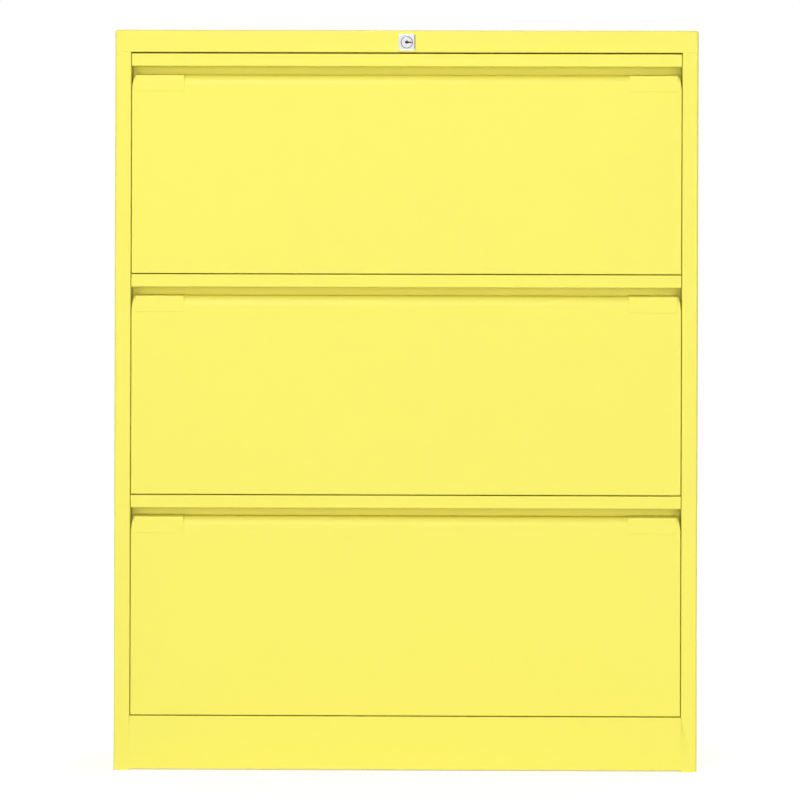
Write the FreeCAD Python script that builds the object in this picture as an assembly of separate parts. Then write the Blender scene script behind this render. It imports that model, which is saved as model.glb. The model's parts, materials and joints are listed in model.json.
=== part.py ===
import FreeCAD
import Part

import math
import os

from FreeCAD import Vector

# Three-drawer side filing cabinet in folded sheet steel. Lengths are in millimetres.
# +X points to the right, +Y to the back and +Z up.
# The origin is on the floor, under the middle of the body.

# Body shell
BODY_WIDTH = 800.0
BODY_DEPTH = 470.0
BODY_HEIGHT = 1016.0
SHEET = 0.9                  # steel sheet of the body and the drawers
FOLD = 1.0                   # inside radius of a small fold
EDGE_ROUND = 3.5             # outside radius along the body's edges
STILE_WIDTH = 22.0           # front faces beside the drawers
STILE_LEG = 20.0             # inner leg of a stile
REAR_FLANGE = 20.0
LID_HEIGHT = 30.4
LID_FRONT_RETURN = 20.0
LID_SIDE_RETURN = 7.0
LID_REAR_RETURN = 12.0
PLINTH_HEIGHT = 74.8
PLINTH_LIFT = 1.5            # gap between the plinth and the floor
PLINTH_FLANGE = 37.0
RELIEF_LENGTH = 3.5          # diagonal slit at the lower corners of the drawer opening
RELIEF_WIDTH = 0.8
BACK_LIFT = 12.0             # gap between the back panel and the floor
BACK_SIDE_PLAY = 0.5
BASE_SETBACK = 2.0           # base panel's front, behind the stile legs
BASE_SKIRT = 25.0
BASE_CORNER = 5.0

# Levelling feet
FOOT_INSET = 30.0            # stud, from the side wall
FOOT_SETBACK = 62.0          # stud, from the body's front or back
FOOT_WIDTH = 30.0            # hexagonal pad, across its flats
FOOT_HEIGHT = 10.0
STUD_RADIUS = 4.0
STUD_LENGTH = 34.0
THREAD_PLAY = 0.08
BRACKET_GAUGE = 2.0
BRACKET_PLAY = 0.3           # between a foot's pad and its bracket
BRACKET_WIDTH = 50.0
BRACKET_REACH = 60.0
BRACKET_RISE = 30.0
NUT_WIDTH = 14.0             # across flats
NUT_HEIGHT = 8.0
ACCESS_RADIUS = 9.0          # holes in the base panel above the studs

# Runner posts
POST_GAUGE = 1.5
POST_WIDTH = 40.0
POST_FRONT = 50.0            # front post, from the body's front
POST_REAR = 50.0             # rear post, from the body's back

# Telescopic slides
DRAWER_TRAVEL = 400.0
RAIL_HEIGHT = 45.5
RAIL_GAUGE = 1.2
RAIL_PLAY = 0.4              # between members that pass each other
RUNNING_FIT = 0.08           # between a ball cage and its races
RAIL_LIP = 3.0               # turned-in edges of the outer rail
RAIL_NOSE = 2.0              # outer rail's edge, from the drawer's side
RAIL_START = 48.0            # from the body's front
RAIL_STEP = 0.5              # moving members start this far behind the outer rail
RAIL_END_GAP = 20.0          # from the back panel
RAIL_RISE = 70.0             # middle of a rail, above its drawer front's lower edge
CAGE_WEB = 0.8
CAGE_BED = 3.9               # height of the bed that holds a row of balls
CAGE_LENGTH = 140.0
CAGE_MARGIN = 20.0           # cage to the end of its race, with the drawer fully out
INNER_FLANGE = 5.6
BUFFER_LENGTH = 8.0
BUFFER_HEIGHT = 18.0
BUFFER_WIDTH = 7.0

# Drawer fronts
DRAWERS = ("bottom", "middle", "top")
TOP_GAP = 2.0                # between the top drawer and the lid
FRONT_GAP = 1.3              # below each drawer front
SIDE_GAP = 1.0
FRONT_DEPTH = 30.0           # to the rear face of the inner panel
FRONT_ROUND = 1.4            # outside radius of the lower edge
ROLL = 25.0                  # radius of the rolled-back upper edge
ROLL_END_RADIUS = 80.0       # drawn-in ends of the roll, seen from the front
STRIP_HEIGHT = 17.5          # flush strip along the top
STRIP_RETURN = 6.0
GRIP_GAP = 10.1              # between the top of the roll and the strip
GRIP_LAP = 16.6              # grip rail behind the inner panel
LABEL_WIDTH = 66.5
LABEL_INSET = 5.5            # from the front's end
LABEL_GAUGE = 1.0
LABEL_LIFT = 1.1             # lower edge above the start of the roll
LABEL_HEIGHT = 21.8
LABEL_PROUD = 1.1            # lower edge in front of the face
LABEL_LEAN = 2.5             # upper edge behind the lower edge
LABEL_TAIL = 1.5             # flat end of the flange, each side of the roll's back
LABEL_PLAY = 0.1             # between the flange and the roll

# Drawer trays
TRAY_LIFT = 8.0              # tray's floor above the front's lower edge
TRAY_FLANGE = 12.0
TRAY_LIP = 8.0
TRAY_FOLD = 2.0
TRAY_REAR_GAP = 40.0         # from the back panel
FLANGE_PLAY = 1.0            # between the tray's flanges and the grip rail's
HANG_FLANGE = 12.0           # ledges that carry the file bars
FILE_BAR_OFFSET = 14.0       # from the middle of the drawer
FILE_BAR_WIDTH = 3.0
FILE_BAR_HEIGHT = 15.0
FILE_BAR_TAB = 3.0           # height of the bar's end tabs
FILE_BAR_PLAY = 0.4
FILE_BAR_LAP = 9.0           # tab's length on its ledge

# Lock
LOCK_RISE = 13.3             # lock's axis above the lid's lower edge
BEZEL_SIZE = 23.5
BEZEL_PROUD = 4.5
BEZEL_CORNER = 3.0
BEZEL_BEVEL = 1.2
BARREL_RADIUS = 9.5
BARREL_LENGTH = 22.0         # behind the fascia's face
BARREL_PLAY = 0.2
PLUG_FACE_RADIUS = 8.2
PLUG_FACE_PLAY = 0.5
PLUG_FACE_SINK = 0.3
PLUG_FACE_THICK = 2.6
PLUG_RADIUS = 6.0
PLUG_FIT = 0.05
PLUG_END_PLAY = 0.3          # cam's place behind the barrel
KEYWAY_LENGTH = 9.2
KEYWAY_HEIGHT = 1.5
KEYWAY_DEPTH = 16.0
KEYWAY_WARD_LENGTH = 4.0     # taller end of the keyway
KEYWAY_WARD_HEIGHT = 2.8
TAIL_SIDE = 7.0
CLIP_GAUGE = 1.2
CLIP_FLAT = 7.5              # flats of the clip's groove, from the lock's axis
CLIP_PLAY = 0.1
CLIP_LEG = 5.5
CLIP_DROP = 8.0
CLIP_BRIDGE = 2.0
CAM_GAUGE = 2.0
CAM_HUB_RADIUS = 7.0
CAM_TIP_RADIUS = 3.6
CAM_THROW = 8.0              # pin's distance from the lock's axis
PIN_RADIUS = 2.0
PIN_OVERHANG = 1.0           # pins reach this far through the link
SLOT_PLAY = 0.45
LINK_SETBACK = 32.0          # link's front face, from the body's front
LINK_GAUGE = 2.0
LINK_BELOW = 4.5             # link's lower edge below the cam pin's middle
LINK_ABOVE = 4.5
LINK_END = 8.0               # material past the cam pin and the bar's pin
LINK_EDGE = 2.5              # material round the slanted slot
LOCK_BAR_SETBACK = 36.0
LOCK_BAR_GAUGE = 3.0
LOCK_BAR_WIDTH = 11.0
LOCK_BAR_INSET = 2.0         # bar's inner edge, outside the drawer opening
LOCK_BAR_TAIL = 30.0         # bar's end below the lowest hook
LOCK_ARM_REACH = 22.0        # pin, from the bar's inner edge
LOCK_ARM_HEIGHT = 11.0
HOOK_REACH = 10.5
HOOK_HEIGHT = 12.0
HOOK_PLAY = 2.0              # above a catch, unlocked
HOOK_GRIP = 3.0              # between a hook and its catch, front to back
CATCH_RISE = 180.0           # above the drawer front's lower edge
CATCH_HEIGHT = 14.0
CATCH_REACH = 9.0
CATCH_LENGTH = 22.0
CATCH_GAUGE = 1.5
GUIDE_WALL = 3.0
GUIDE_SLIM = 1.0             # bar guide's wall towards the drawers
GUIDE_PLAY = 0.3
GUIDE_LENGTH = 14.0
LINK_GUIDE_PLACES = (90.0, 270.0)
BAR_GUIDE_RISE = 60.0        # above the hooks

# Planes and levels of the body
HALF_WIDTH = BODY_WIDTH / 2
FRONT_Y = -BODY_DEPTH / 2
BACK_Y = BODY_DEPTH / 2
WALL_X = HALF_WIDTH - SHEET
OPENING_X = HALF_WIDTH - STILE_WIDTH
SIDE_TOP = BODY_HEIGHT - LID_HEIGHT
LID_UNDERSIDE = BODY_HEIGHT - SHEET
BACK_FACE_Y = BACK_Y - 2 * SHEET
BASE_TOP = PLINTH_HEIGHT - SHEET
FOOT_X = WALL_X - FOOT_INSET
FOOT_YS = (FRONT_Y + FOOT_SETBACK, BACK_Y - FOOT_SETBACK)
POST_YS = (FRONT_Y + POST_FRONT, BACK_Y - POST_REAR - POST_WIDTH)

# Levels of a drawer front, from its lower edge
DRAWER_PITCH = (SIDE_TOP - TOP_GAP - PLINTH_HEIGHT) / len(DRAWERS)
FRONT_HEIGHT = DRAWER_PITCH - FRONT_GAP
FRONT_HALF = OPENING_X - SIDE_GAP
STRIP_FOOT = FRONT_HEIGHT - STRIP_HEIGHT
CREST = STRIP_FOOT - GRIP_GAP
ROLL_FOOT = CREST - ROLL
TRAY_TOP = CREST - GRIP_LAP
INNER_FRONT_Y = FRONT_Y + FRONT_DEPTH - SHEET
INNER_REAR_Y = FRONT_Y + FRONT_DEPTH

# Places across a slide, from the post towards the drawer, and up or down from its middle
OUTER_CAGE_U = RAIL_GAUGE + RAIL_PLAY * 2
MIDDLE_U = OUTER_CAGE_U + CAGE_WEB + RAIL_PLAY
INNER_CAGE_U = MIDDLE_U + RAIL_GAUGE + RAIL_PLAY
INNER_TIP_U = INNER_CAGE_U + CAGE_WEB + RAIL_PLAY
SLIDE_WIDTH = INNER_TIP_U + INNER_FLANGE
OUTER_NOSE_U = SLIDE_WIDTH - RAIL_NOSE
MIDDLE_NOSE_U = SLIDE_WIDTH - RAIL_GAUGE - RAIL_PLAY
OUTER_RACE = RAIL_HEIGHT / 2 - RAIL_GAUGE
MIDDLE_HALF = OUTER_RACE - CAGE_BED - 2 * RUNNING_FIT
MIDDLE_RACE = MIDDLE_HALF - RAIL_GAUGE
INNER_HALF = MIDDLE_RACE - CAGE_BED - 2 * RUNNING_FIT

# Ends of the slides and the tray along Y
RAIL_FRONT_Y = FRONT_Y + RAIL_START
RAIL_REAR_Y = BACK_FACE_Y - RAIL_END_GAP
MEMBER_FRONT_Y = RAIL_FRONT_Y + RAIL_STEP
MIDDLE_REAR_Y = RAIL_REAR_Y - BUFFER_LENGTH - RAIL_PLAY
TRAY_REAR_Y = BACK_FACE_Y - TRAY_REAR_GAP
TRAY_HALF = OPENING_X - SLIDE_WIDTH
OUTER_CAGE_Y = RAIL_FRONT_Y + DRAWER_TRAVEL / 4 + CAGE_MARGIN
INNER_CAGE_Y = TRAY_REAR_Y - DRAWER_TRAVEL / 4 - CAGE_MARGIN - CAGE_LENGTH

# Lock's axis and the places of its moving pieces, unlocked
LOCK_Z = SIDE_TOP + LOCK_RISE
PLUG_FACE_Y = FRONT_Y - BEZEL_PROUD + PLUG_FACE_SINK
PLUG_SEAT_Y = PLUG_FACE_Y + PLUG_FACE_THICK
CAM_Y = FRONT_Y + BARREL_LENGTH + PLUG_END_PLAY
LINK_Y = FRONT_Y + LINK_SETBACK
LOCK_BAR_Y = FRONT_Y + LOCK_BAR_SETBACK
CAM_PIN_X = -CAM_THROW * math.sin(math.pi / 4)
CAM_PIN_Z = LOCK_Z + CAM_THROW * math.cos(math.pi / 4)
LOCK_STROKE = -2 * CAM_PIN_X
LINK_FOOT = CAM_PIN_Z - LINK_BELOW
LINK_HEAD = LOCK_Z + CAM_THROW + LINK_ABOVE
LOCK_BAR_X = OPENING_X + LOCK_BAR_INSET
BAR_PIN_X = LOCK_BAR_X - LOCK_ARM_REACH
BAR_PIN_Z = (LINK_FOOT + LINK_HEAD) / 2
CATCH_Y = LOCK_BAR_Y + LOCK_BAR_GAUGE + HOOK_GRIP

SMALL = 1e-6


def drawer_level(drawer):
    """Height of a drawer front's lower edge above the floor."""
    return PLINTH_HEIGHT + FRONT_GAP + DRAWERS.index(drawer) * DRAWER_PITCH


def hook_level(drawer):
    """Height of the lock bar's hook for a drawer, unlocked."""
    return drawer_level(drawer) + CATCH_RISE + CATCH_HEIGHT + HOOK_PLAY


def block(x0, x1, y0, y1, z0, z1):
    return Part.makeBox(x1 - x0, y1 - y0, z1 - z0, Vector(x0, y0, z0))


def cylinder_y(x, z, radius, y0, y1):
    return Part.makeCylinder(radius, y1 - y0, Vector(x, y0, z), Vector(0, 1, 0))


def cylinder_z(x, y, radius, z0, z1):
    return Part.makeCylinder(radius, z1 - z0, Vector(x, y, z0))


def mirrored(shape):
    return shape.mirror(Vector(0, 0, 0), Vector(1, 0, 0))


def both_sides(shape):
    return Part.makeCompound([mirrored(shape), shape])


def raised(shape, height):
    return shape.translated(Vector(0, 0, height))


def spatial(point, plane, along):
    """Point of a section in the plane "xy", "xz" or "yz", at a place along the plane's normal."""
    if plane == "xy":
        return Vector(point.x, point.y, along)
    if plane == "xz":
        return Vector(point.x, along, point.y)
    return Vector(along, point.x, point.y)


def corner_round(before, here, after, radius):
    """Start, middle and end of the arc that rounds a corner."""
    back = (before - here).normalize()
    ahead = (after - here).normalize()
    half_angle = back.getAngle(ahead) / 2
    reach = radius / math.tan(half_angle)
    inward = (back + ahead).normalize()
    middle = here + inward * (radius / math.sin(half_angle) - radius)
    return here + back * reach, middle, here + ahead * reach


def outline(corners, plane, along):
    """Closed wire through corners (a, b) or (a, b, radius)."""
    points = [Vector(corner[0], corner[1], 0) for corner in corners]
    rounds = []
    for i, corner in enumerate(corners):
        radius = corner[2] if len(corner) > 2 else 0
        here = points[i]
        if radius < SMALL:
            rounds.append((here, here, here))
        else:
            rounds.append(corner_round(points[i - 1], here, points[(i + 1) % len(points)], radius))
    edges = []
    for i, (start, middle, end) in enumerate(rounds):
        following = rounds[(i + 1) % len(rounds)][0]
        if (end - start).Length > SMALL:
            stations = [spatial(point, plane, along) for point in (start, middle, end)]
            edges.append(Part.Arc(*stations).toShape())
        if (following - end).Length > SMALL:
            edges.append(Part.makeLine(spatial(end, plane, along), spatial(following, plane, along)))
    return Part.Wire(edges)


def prism(corners, plane, start, end):
    """Solid with the section of the corners, from start to end along the plane's normal."""
    length = spatial(Vector(0, 0, 0), plane, end - start)
    return Part.Face(outline(corners, plane, start)).extrude(length)


def folded(path, gauge, side=1):
    """Section corners of a folded sheet.

    The path runs along one face of the sheet, which lies to its left, or to its right for side -1.
    A third number at a point of the path is the inside radius of the fold there.
    """
    points = [Vector(point[0], point[1], 0) for point in path]
    headings = [(end - start).normalize() for start, end in zip(points, points[1:])]
    normals = [Vector(-heading.y, heading.x, 0) * side for heading in headings]
    near = []
    far = []
    for i, point in enumerate(points):
        before = normals[max(i - 1, 0)]
        after = normals[min(i, len(normals) - 1)]
        other = point + (before + after) * (gauge / (1 + before.dot(after)))
        fold = path[i][2] if len(path[i]) > 2 else 0
        near_radius = 0
        far_radius = 0
        if fold > 0:
            towards_sheet = headings[i].dot(before) > 0
            near_radius = fold + gauge if towards_sheet else fold
            far_radius = fold if towards_sheet else fold + gauge
        near.append((point.x, point.y, near_radius))
        far.append((other.x, other.y, far_radius))
    return near + far[::-1]


def upright_edges(solid):
    return [edge for edge in solid.Edges if abs(edge.tangentAt(edge.FirstParameter).z) > 1 - SMALL]


def edges_at_height(solid, z):
    return [edge for edge in solid.Edges if all(abs(vertex.Z - z) < SMALL for vertex in edge.Vertexes)]


def hexagonal_bar(width, z0, z1):
    """Upright bar with six flats, on the Z axis."""
    reach = width / math.sqrt(3)
    corners = [(reach * math.cos(i * math.pi / 3), reach * math.sin(i * math.pi / 3)) for i in range(6)]
    return prism(corners, "xy", z0, z1)


def side_panel():
    """Right-hand side: stile leg, stile, side wall and rear flange from one sheet."""
    edge_fold = EDGE_ROUND - SHEET
    path = [
        (OPENING_X, FRONT_Y + STILE_LEG),
        (OPENING_X, FRONT_Y, FOLD),
        (HALF_WIDTH, FRONT_Y, edge_fold),
        (HALF_WIDTH, BACK_Y, edge_fold),
        (HALF_WIDTH - REAR_FLANGE, BACK_Y),
    ]
    panel = prism(folded(path, SHEET), "xy", 0, SIDE_TOP)
    slit = block(
        -RELIEF_WIDTH, RELIEF_LENGTH, -SHEET, 2 * SHEET + FOLD, -RELIEF_WIDTH / 2, RELIEF_WIDTH / 2
    )
    slit.rotate(Vector(0, 0, 0), Vector(0, 1, 0), 45)
    slit.translate(Vector(OPENING_X, FRONT_Y, PLINTH_HEIGHT))
    return panel.cut(slit)


def top_panel():
    """Lid with a fascia, three walls and a return flange all round below."""
    shell = block(-HALF_WIDTH, HALF_WIDTH, FRONT_Y, BACK_Y, SIDE_TOP, BODY_HEIGHT)
    shell = shell.makeFillet(EDGE_ROUND, upright_edges(shell) + edges_at_height(shell, BODY_HEIGHT))
    hollow = block(-WALL_X, WALL_X, FRONT_Y + SHEET, BACK_Y - SHEET, SIDE_TOP + SHEET, LID_UNDERSIDE)
    hollow = hollow.makeChamfer(
        EDGE_ROUND - SHEET, upright_edges(hollow) + edges_at_height(hollow, LID_UNDERSIDE)
    )
    opening_x = HALF_WIDTH - LID_SIDE_RETURN
    opening = block(
        -opening_x, opening_x, FRONT_Y + LID_FRONT_RETURN, BACK_Y - LID_REAR_RETURN,
        SIDE_TOP - SHEET, SIDE_TOP + 2 * SHEET,
    )
    lock_hole = cylinder_y(0, LOCK_Z, BARREL_RADIUS + BARREL_PLAY, FRONT_Y - SHEET, FRONT_Y + 2 * SHEET)
    return shell.cut([hollow, opening, lock_hole])


def back_panel():
    half = HALF_WIDTH - EDGE_ROUND - BACK_SIDE_PLAY
    return block(-half, half, BACK_FACE_Y, BACK_Y - SHEET, BACK_LIFT, SIDE_TOP)


def plinth_panel():
    path = [
        (FRONT_Y + PLINTH_FLANGE, PLINTH_HEIGHT),
        (FRONT_Y, PLINTH_HEIGHT, FOLD),
        (FRONT_Y, PLINTH_LIFT, FOLD),
        (FRONT_Y + PLINTH_FLANGE, PLINTH_LIFT),
    ]
    return prism(folded(path, SHEET), "yz", -OPENING_X, OPENING_X)


def base_panel():
    """Floor pan with a skirt, under the plinth's upper flange, and holes above the feet."""
    front = FRONT_Y + STILE_LEG + BASE_SETBACK
    foot = BASE_TOP - BASE_SKIRT
    pan = block(-WALL_X, WALL_X, front, BACK_FACE_Y, foot, BASE_TOP)
    pan = pan.makeFillet(BASE_CORNER, upright_edges(pan))
    hollow = block(
        -WALL_X + SHEET, WALL_X - SHEET, front + SHEET, BACK_FACE_Y - SHEET, foot - SHEET, BASE_TOP - SHEET
    )
    hollow = hollow.makeFillet(BASE_CORNER - SHEET, upright_edges(hollow))
    holes = [
        cylinder_z(x, y, ACCESS_RADIUS, BASE_TOP - 2 * SHEET, BASE_TOP + SHEET)
        for x in (-FOOT_X, FOOT_X) for y in FOOT_YS
    ]
    return pan.cut([hollow] + holes)


def runner_posts():
    """Front and rear channels on the right-hand side wall."""
    posts = []
    for y in POST_YS:
        path = [(WALL_X, y), (OPENING_X, y), (OPENING_X, y + POST_WIDTH), (WALL_X, y + POST_WIDTH)]
        posts.append(prism(folded(path, POST_GAUGE, -1), "xy", BASE_TOP, SIDE_TOP))
    return Part.makeCompound(posts)


def foot_bracket(y):
    """Right-hand angle bracket with a weld nut."""
    foot = FOOT_HEIGHT + BRACKET_PLAY
    path = [(WALL_X, foot + BRACKET_RISE), (WALL_X, foot), (WALL_X - BRACKET_REACH, foot)]
    angle = prism(folded(path, BRACKET_GAUGE, -1), "xz", y - BRACKET_WIDTH / 2, y + BRACKET_WIDTH / 2)
    nut_foot = foot + BRACKET_GAUGE
    nut = hexagonal_bar(NUT_WIDTH, nut_foot, nut_foot + NUT_HEIGHT).translated(Vector(FOOT_X, y, 0))
    bore = cylinder_z(FOOT_X, y, STUD_RADIUS + THREAD_PLAY, 0, nut_foot + 2 * NUT_HEIGHT)
    return angle.fuse(nut).cut(bore).removeSplitter()


def levelling_foot(x, y):
    """Hexagonal pad with a threaded stud, screwed right in."""
    pad = hexagonal_bar(FOOT_WIDTH, 0, FOOT_HEIGHT)
    foot = pad.fuse(cylinder_z(0, 0, STUD_RADIUS, FOOT_HEIGHT, FOOT_HEIGHT + STUD_LENGTH))
    return foot.translated(Vector(x, y, 0))


def rail(path, gauge, front, rear):
    """Right-hand slide member from a path of places across the slide and up from its middle."""
    section = [(OPENING_X - point[0], point[1]) for point in path]
    return prism(folded(section, gauge, -1), "xz", front, rear)


def outer_rail():
    half = RAIL_HEIGHT / 2
    path = [
        (OUTER_NOSE_U, half - RAIL_LIP),
        (OUTER_NOSE_U, half),
        (0, half),
        (0, -half),
        (OUTER_NOSE_U, -half),
        (OUTER_NOSE_U, RAIL_LIP - half),
    ]
    return rail(path, RAIL_GAUGE, RAIL_FRONT_Y, RAIL_REAR_Y)


def middle_rail():
    path = [
        (MIDDLE_NOSE_U, MIDDLE_HALF),
        (MIDDLE_U, MIDDLE_HALF),
        (MIDDLE_U, -MIDDLE_HALF),
        (MIDDLE_NOSE_U, -MIDDLE_HALF),
    ]
    return rail(path, RAIL_GAUGE, MEMBER_FRONT_Y, MIDDLE_REAR_Y)


def inner_rail():
    path = [
        (INNER_TIP_U, -INNER_HALF),
        (SLIDE_WIDTH, -INNER_HALF),
        (SLIDE_WIDTH, INNER_HALF),
        (INNER_TIP_U, INNER_HALF),
    ]
    return rail(path, RAIL_GAUGE, MEMBER_FRONT_Y, TRAY_REAR_Y)


def ball_cage(web_u, nose_u, race, front):
    """Moulded cage: a thin web and, above and below, a bed that holds a row of balls."""
    half = race - RUNNING_FIT
    bed = half - CAGE_BED
    web_end = web_u + CAGE_WEB
    corners = [
        (web_u, -half), (nose_u, -half), (nose_u, -bed), (web_end, -bed),
        (web_end, bed), (nose_u, bed), (nose_u, half), (web_u, half),
    ]
    section = [(OPENING_X - u, v) for u, v in corners]
    return prism(section, "xz", front, front + CAGE_LENGTH)


def outer_cage():
    nose_u = OUTER_NOSE_U - RAIL_GAUGE - RAIL_PLAY
    return ball_cage(OUTER_CAGE_U, nose_u, OUTER_RACE, OUTER_CAGE_Y)


def inner_cage():
    nose_u = SLIDE_WIDTH - RAIL_GAUGE - RAIL_PLAY
    return ball_cage(INNER_CAGE_U, nose_u, MIDDLE_RACE, INNER_CAGE_Y)


def rail_buffer():
    web_x = OPENING_X - RAIL_GAUGE
    return block(
        web_x - BUFFER_WIDTH, web_x, RAIL_REAR_Y - BUFFER_LENGTH, RAIL_REAR_Y,
        -BUFFER_HEIGHT / 2, BUFFER_HEIGHT / 2,
    )


def roll_end_x(half_width, z):
    """Half-width of a drawer front at a height on its roll."""
    radius = ROLL_END_RADIUS - (FRONT_HALF - half_width)
    return FRONT_HALF - ROLL_END_RADIUS + math.sqrt(radius ** 2 - (z - ROLL_FOOT) ** 2)


def front_elevation(half_width, foot, y0, y1):
    """Solid with the front's outline as seen from the front: upright ends that curve inwards along the roll."""
    shoulder = Vector(half_width, y0, ROLL_FOOT)
    halfway = ROLL_FOOT + ROLL / 2
    bend = Vector(roll_end_x(half_width, halfway), y0, halfway)
    tip = Vector(roll_end_x(half_width, CREST), y0, CREST)
    heel = Vector(half_width, y0, foot)
    edges = [Part.makeLine(heel, shoulder), Part.Arc(shoulder, bend, tip).toShape()]
    edges += [mirrored(edge) for edge in edges]
    edges.append(Part.makeLine(Vector(-tip.x, y0, CREST), tip))
    edges.append(Part.makeLine(Vector(-heel.x, y0, foot), heel))
    wire = Part.Wire(Part.sortEdges(edges)[0])
    return Part.Face(wire).extrude(Vector(0, y1 - y0, 0))


def front_panel():
    """Outer skin of a drawer front: a shallow pan whose upper edge rolls back to a crest."""
    half = FRONT_HALF
    skin = [
        (FRONT_Y, 0, FRONT_ROUND),
        (INNER_FRONT_Y, 0),
        (INNER_FRONT_Y, CREST),
        (FRONT_Y, CREST, ROLL),
    ]
    solid = prism(skin, "yz", -half, half).common(front_elevation(half, 0, FRONT_Y, INNER_FRONT_Y))
    inside = [
        (FRONT_Y + SHEET, SHEET),
        (INNER_FRONT_Y + SHEET, SHEET),
        (INNER_FRONT_Y + SHEET, CREST - SHEET),
        (FRONT_Y + SHEET, CREST - SHEET, ROLL - SHEET),
    ]
    core = prism(inside, "yz", -half, half)
    core = core.common(front_elevation(half - SHEET, 0, FRONT_Y, INNER_FRONT_Y + SHEET))
    return solid.cut(core)


def inner_panel():
    return front_elevation(FRONT_HALF, 0, INNER_FRONT_Y, INNER_REAR_Y)


def grip_rail():
    """Flush strip, cover of the finger recess, its rear wall and the front ledge for the file bars."""
    wall_y = INNER_REAR_Y + SHEET
    ledge_y = wall_y + HANG_FLANGE
    path = [
        (FRONT_Y + STRIP_RETURN, STRIP_FOOT),
        (FRONT_Y, STRIP_FOOT, FOLD),
        (FRONT_Y, FRONT_HEIGHT, FOLD),
        (wall_y, FRONT_HEIGHT, FOLD),
        (wall_y, TRAY_TOP),
        (ledge_y, TRAY_TOP),
        (ledge_y, TRAY_TOP - TRAY_LIP),
    ]
    solid = prism(folded(path, SHEET, -1), "yz", -FRONT_HALF, FRONT_HALF)
    clear_x = TRAY_HALF - TRAY_FLANGE - FLANGE_PLAY
    notch = block(
        clear_x, FRONT_HALF + SHEET, INNER_REAR_Y - SHEET, ledge_y + SHEET,
        TRAY_TOP - TRAY_LIP - SHEET, TRAY_TOP,
    )
    return solid.cut([notch, mirrored(notch)])


def tray():
    """Floor and sides of a drawer from one sheet, with folded-in rims."""
    rim_x = TRAY_HALF - TRAY_FLANGE
    right = [
        (TRAY_HALF, TRAY_LIFT, TRAY_FOLD),
        (TRAY_HALF, TRAY_TOP, FOLD),
        (rim_x, TRAY_TOP),
        (rim_x, TRAY_TOP - TRAY_LIP),
    ]
    left = [(-point[0],) + point[1:] for point in reversed(right)]
    return prism(folded(left + right, SHEET), "xz", INNER_REAR_Y, TRAY_REAR_Y)


def tray_back():
    """Rear wall of a drawer, with a ledge for the file bars folded backwards."""
    path = [
        (TRAY_REAR_Y, TRAY_LIFT),
        (TRAY_REAR_Y, TRAY_TOP, FOLD),
        (TRAY_REAR_Y + HANG_FLANGE, TRAY_TOP),
        (TRAY_REAR_Y + HANG_FLANGE, TRAY_TOP - TRAY_LIP),
    ]
    return prism(folded(path, SHEET, -1), "yz", -TRAY_HALF, TRAY_HALF)


def file_bar():
    """Bar for hanging files from front to back, with end tabs that lie on the two ledges."""
    ledge_y = INNER_REAR_Y + SHEET + HANG_FLANGE
    front = ledge_y + FILE_BAR_PLAY
    rear = TRAY_REAR_Y - FILE_BAR_PLAY
    head = TRAY_TOP + FILE_BAR_TAB
    foot = head - FILE_BAR_HEIGHT
    corners = [
        (ledge_y - FILE_BAR_LAP, TRAY_TOP), (front, TRAY_TOP), (front, foot), (rear, foot),
        (rear, TRAY_TOP), (TRAY_REAR_Y + FILE_BAR_LAP, TRAY_TOP),
        (TRAY_REAR_Y + FILE_BAR_LAP, head), (ledge_y - FILE_BAR_LAP, head),
    ]
    start = FILE_BAR_OFFSET - FILE_BAR_WIDTH / 2
    return prism(corners, "yz", start, start + FILE_BAR_WIDTH)


def label_holder():
    """Sloping plate over the roll, with a flange that lies on the crest."""
    foot = ROLL_FOOT + LABEL_LIFT
    face_y = FRONT_Y - LABEL_PROUD
    flange_top = CREST + LABEL_PLAY + LABEL_GAUGE
    path = [
        (face_y, foot),
        (face_y + LABEL_LEAN, foot + LABEL_HEIGHT, FOLD),
        (FRONT_Y + ROLL - LABEL_TAIL, flange_top),
        (FRONT_Y + ROLL + LABEL_TAIL, flange_top),
    ]
    end = FRONT_HALF - LABEL_INSET
    return prism(folded(path, LABEL_GAUGE, -1), "yz", end - LABEL_WIDTH, end)


def lock_catch():
    """Angle bracket on the right-hand side of a tray, behind the lock bar's hook."""
    path = [
        (TRAY_HALF, CATCH_Y + CATCH_LENGTH),
        (TRAY_HALF, CATCH_Y),
        (TRAY_HALF + CATCH_REACH, CATCH_Y),
    ]
    return prism(folded(path, CATCH_GAUGE), "xy", CATCH_RISE, CATCH_RISE + CATCH_HEIGHT)


def square(side, x, z, corner=0):
    half = side / 2
    signs = ((-1, -1), (1, -1), (1, 1), (-1, 1))
    return [(x + a * half, z + b * half, corner) for a, b in signs]


def lock_housing():
    """Square bezel with a round barrel, bored for the plug and grooved for the clip."""
    face_y = FRONT_Y - BEZEL_PROUD
    rear_y = FRONT_Y + BARREL_LENGTH
    bezel = prism(square(BEZEL_SIZE, 0, LOCK_Z, BEZEL_CORNER), "xz", face_y, FRONT_Y)
    rim = [edge for edge in bezel.Edges if abs(edge.BoundBox.YMax - face_y) < SMALL]
    bezel = bezel.makeChamfer(BEZEL_BEVEL, rim)
    barrel = cylinder_y(0, LOCK_Z, BARREL_RADIUS, FRONT_Y, rear_y)
    bore = cylinder_y(0, LOCK_Z, PLUG_RADIUS + PLUG_FIT, face_y - SHEET, rear_y + SHEET)
    recess = cylinder_y(0, LOCK_Z, PLUG_FACE_RADIUS + PLUG_FACE_PLAY, face_y - SHEET, PLUG_SEAT_Y)
    groove = block(
        CLIP_FLAT, BARREL_RADIUS + SHEET, FRONT_Y + SHEET, FRONT_Y + SHEET + CLIP_GAUGE,
        LOCK_Z - BARREL_RADIUS, LOCK_Z + BARREL_RADIUS,
    )
    return bezel.fuse(barrel).cut([bore, recess, groove, mirrored(groove)])


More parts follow.
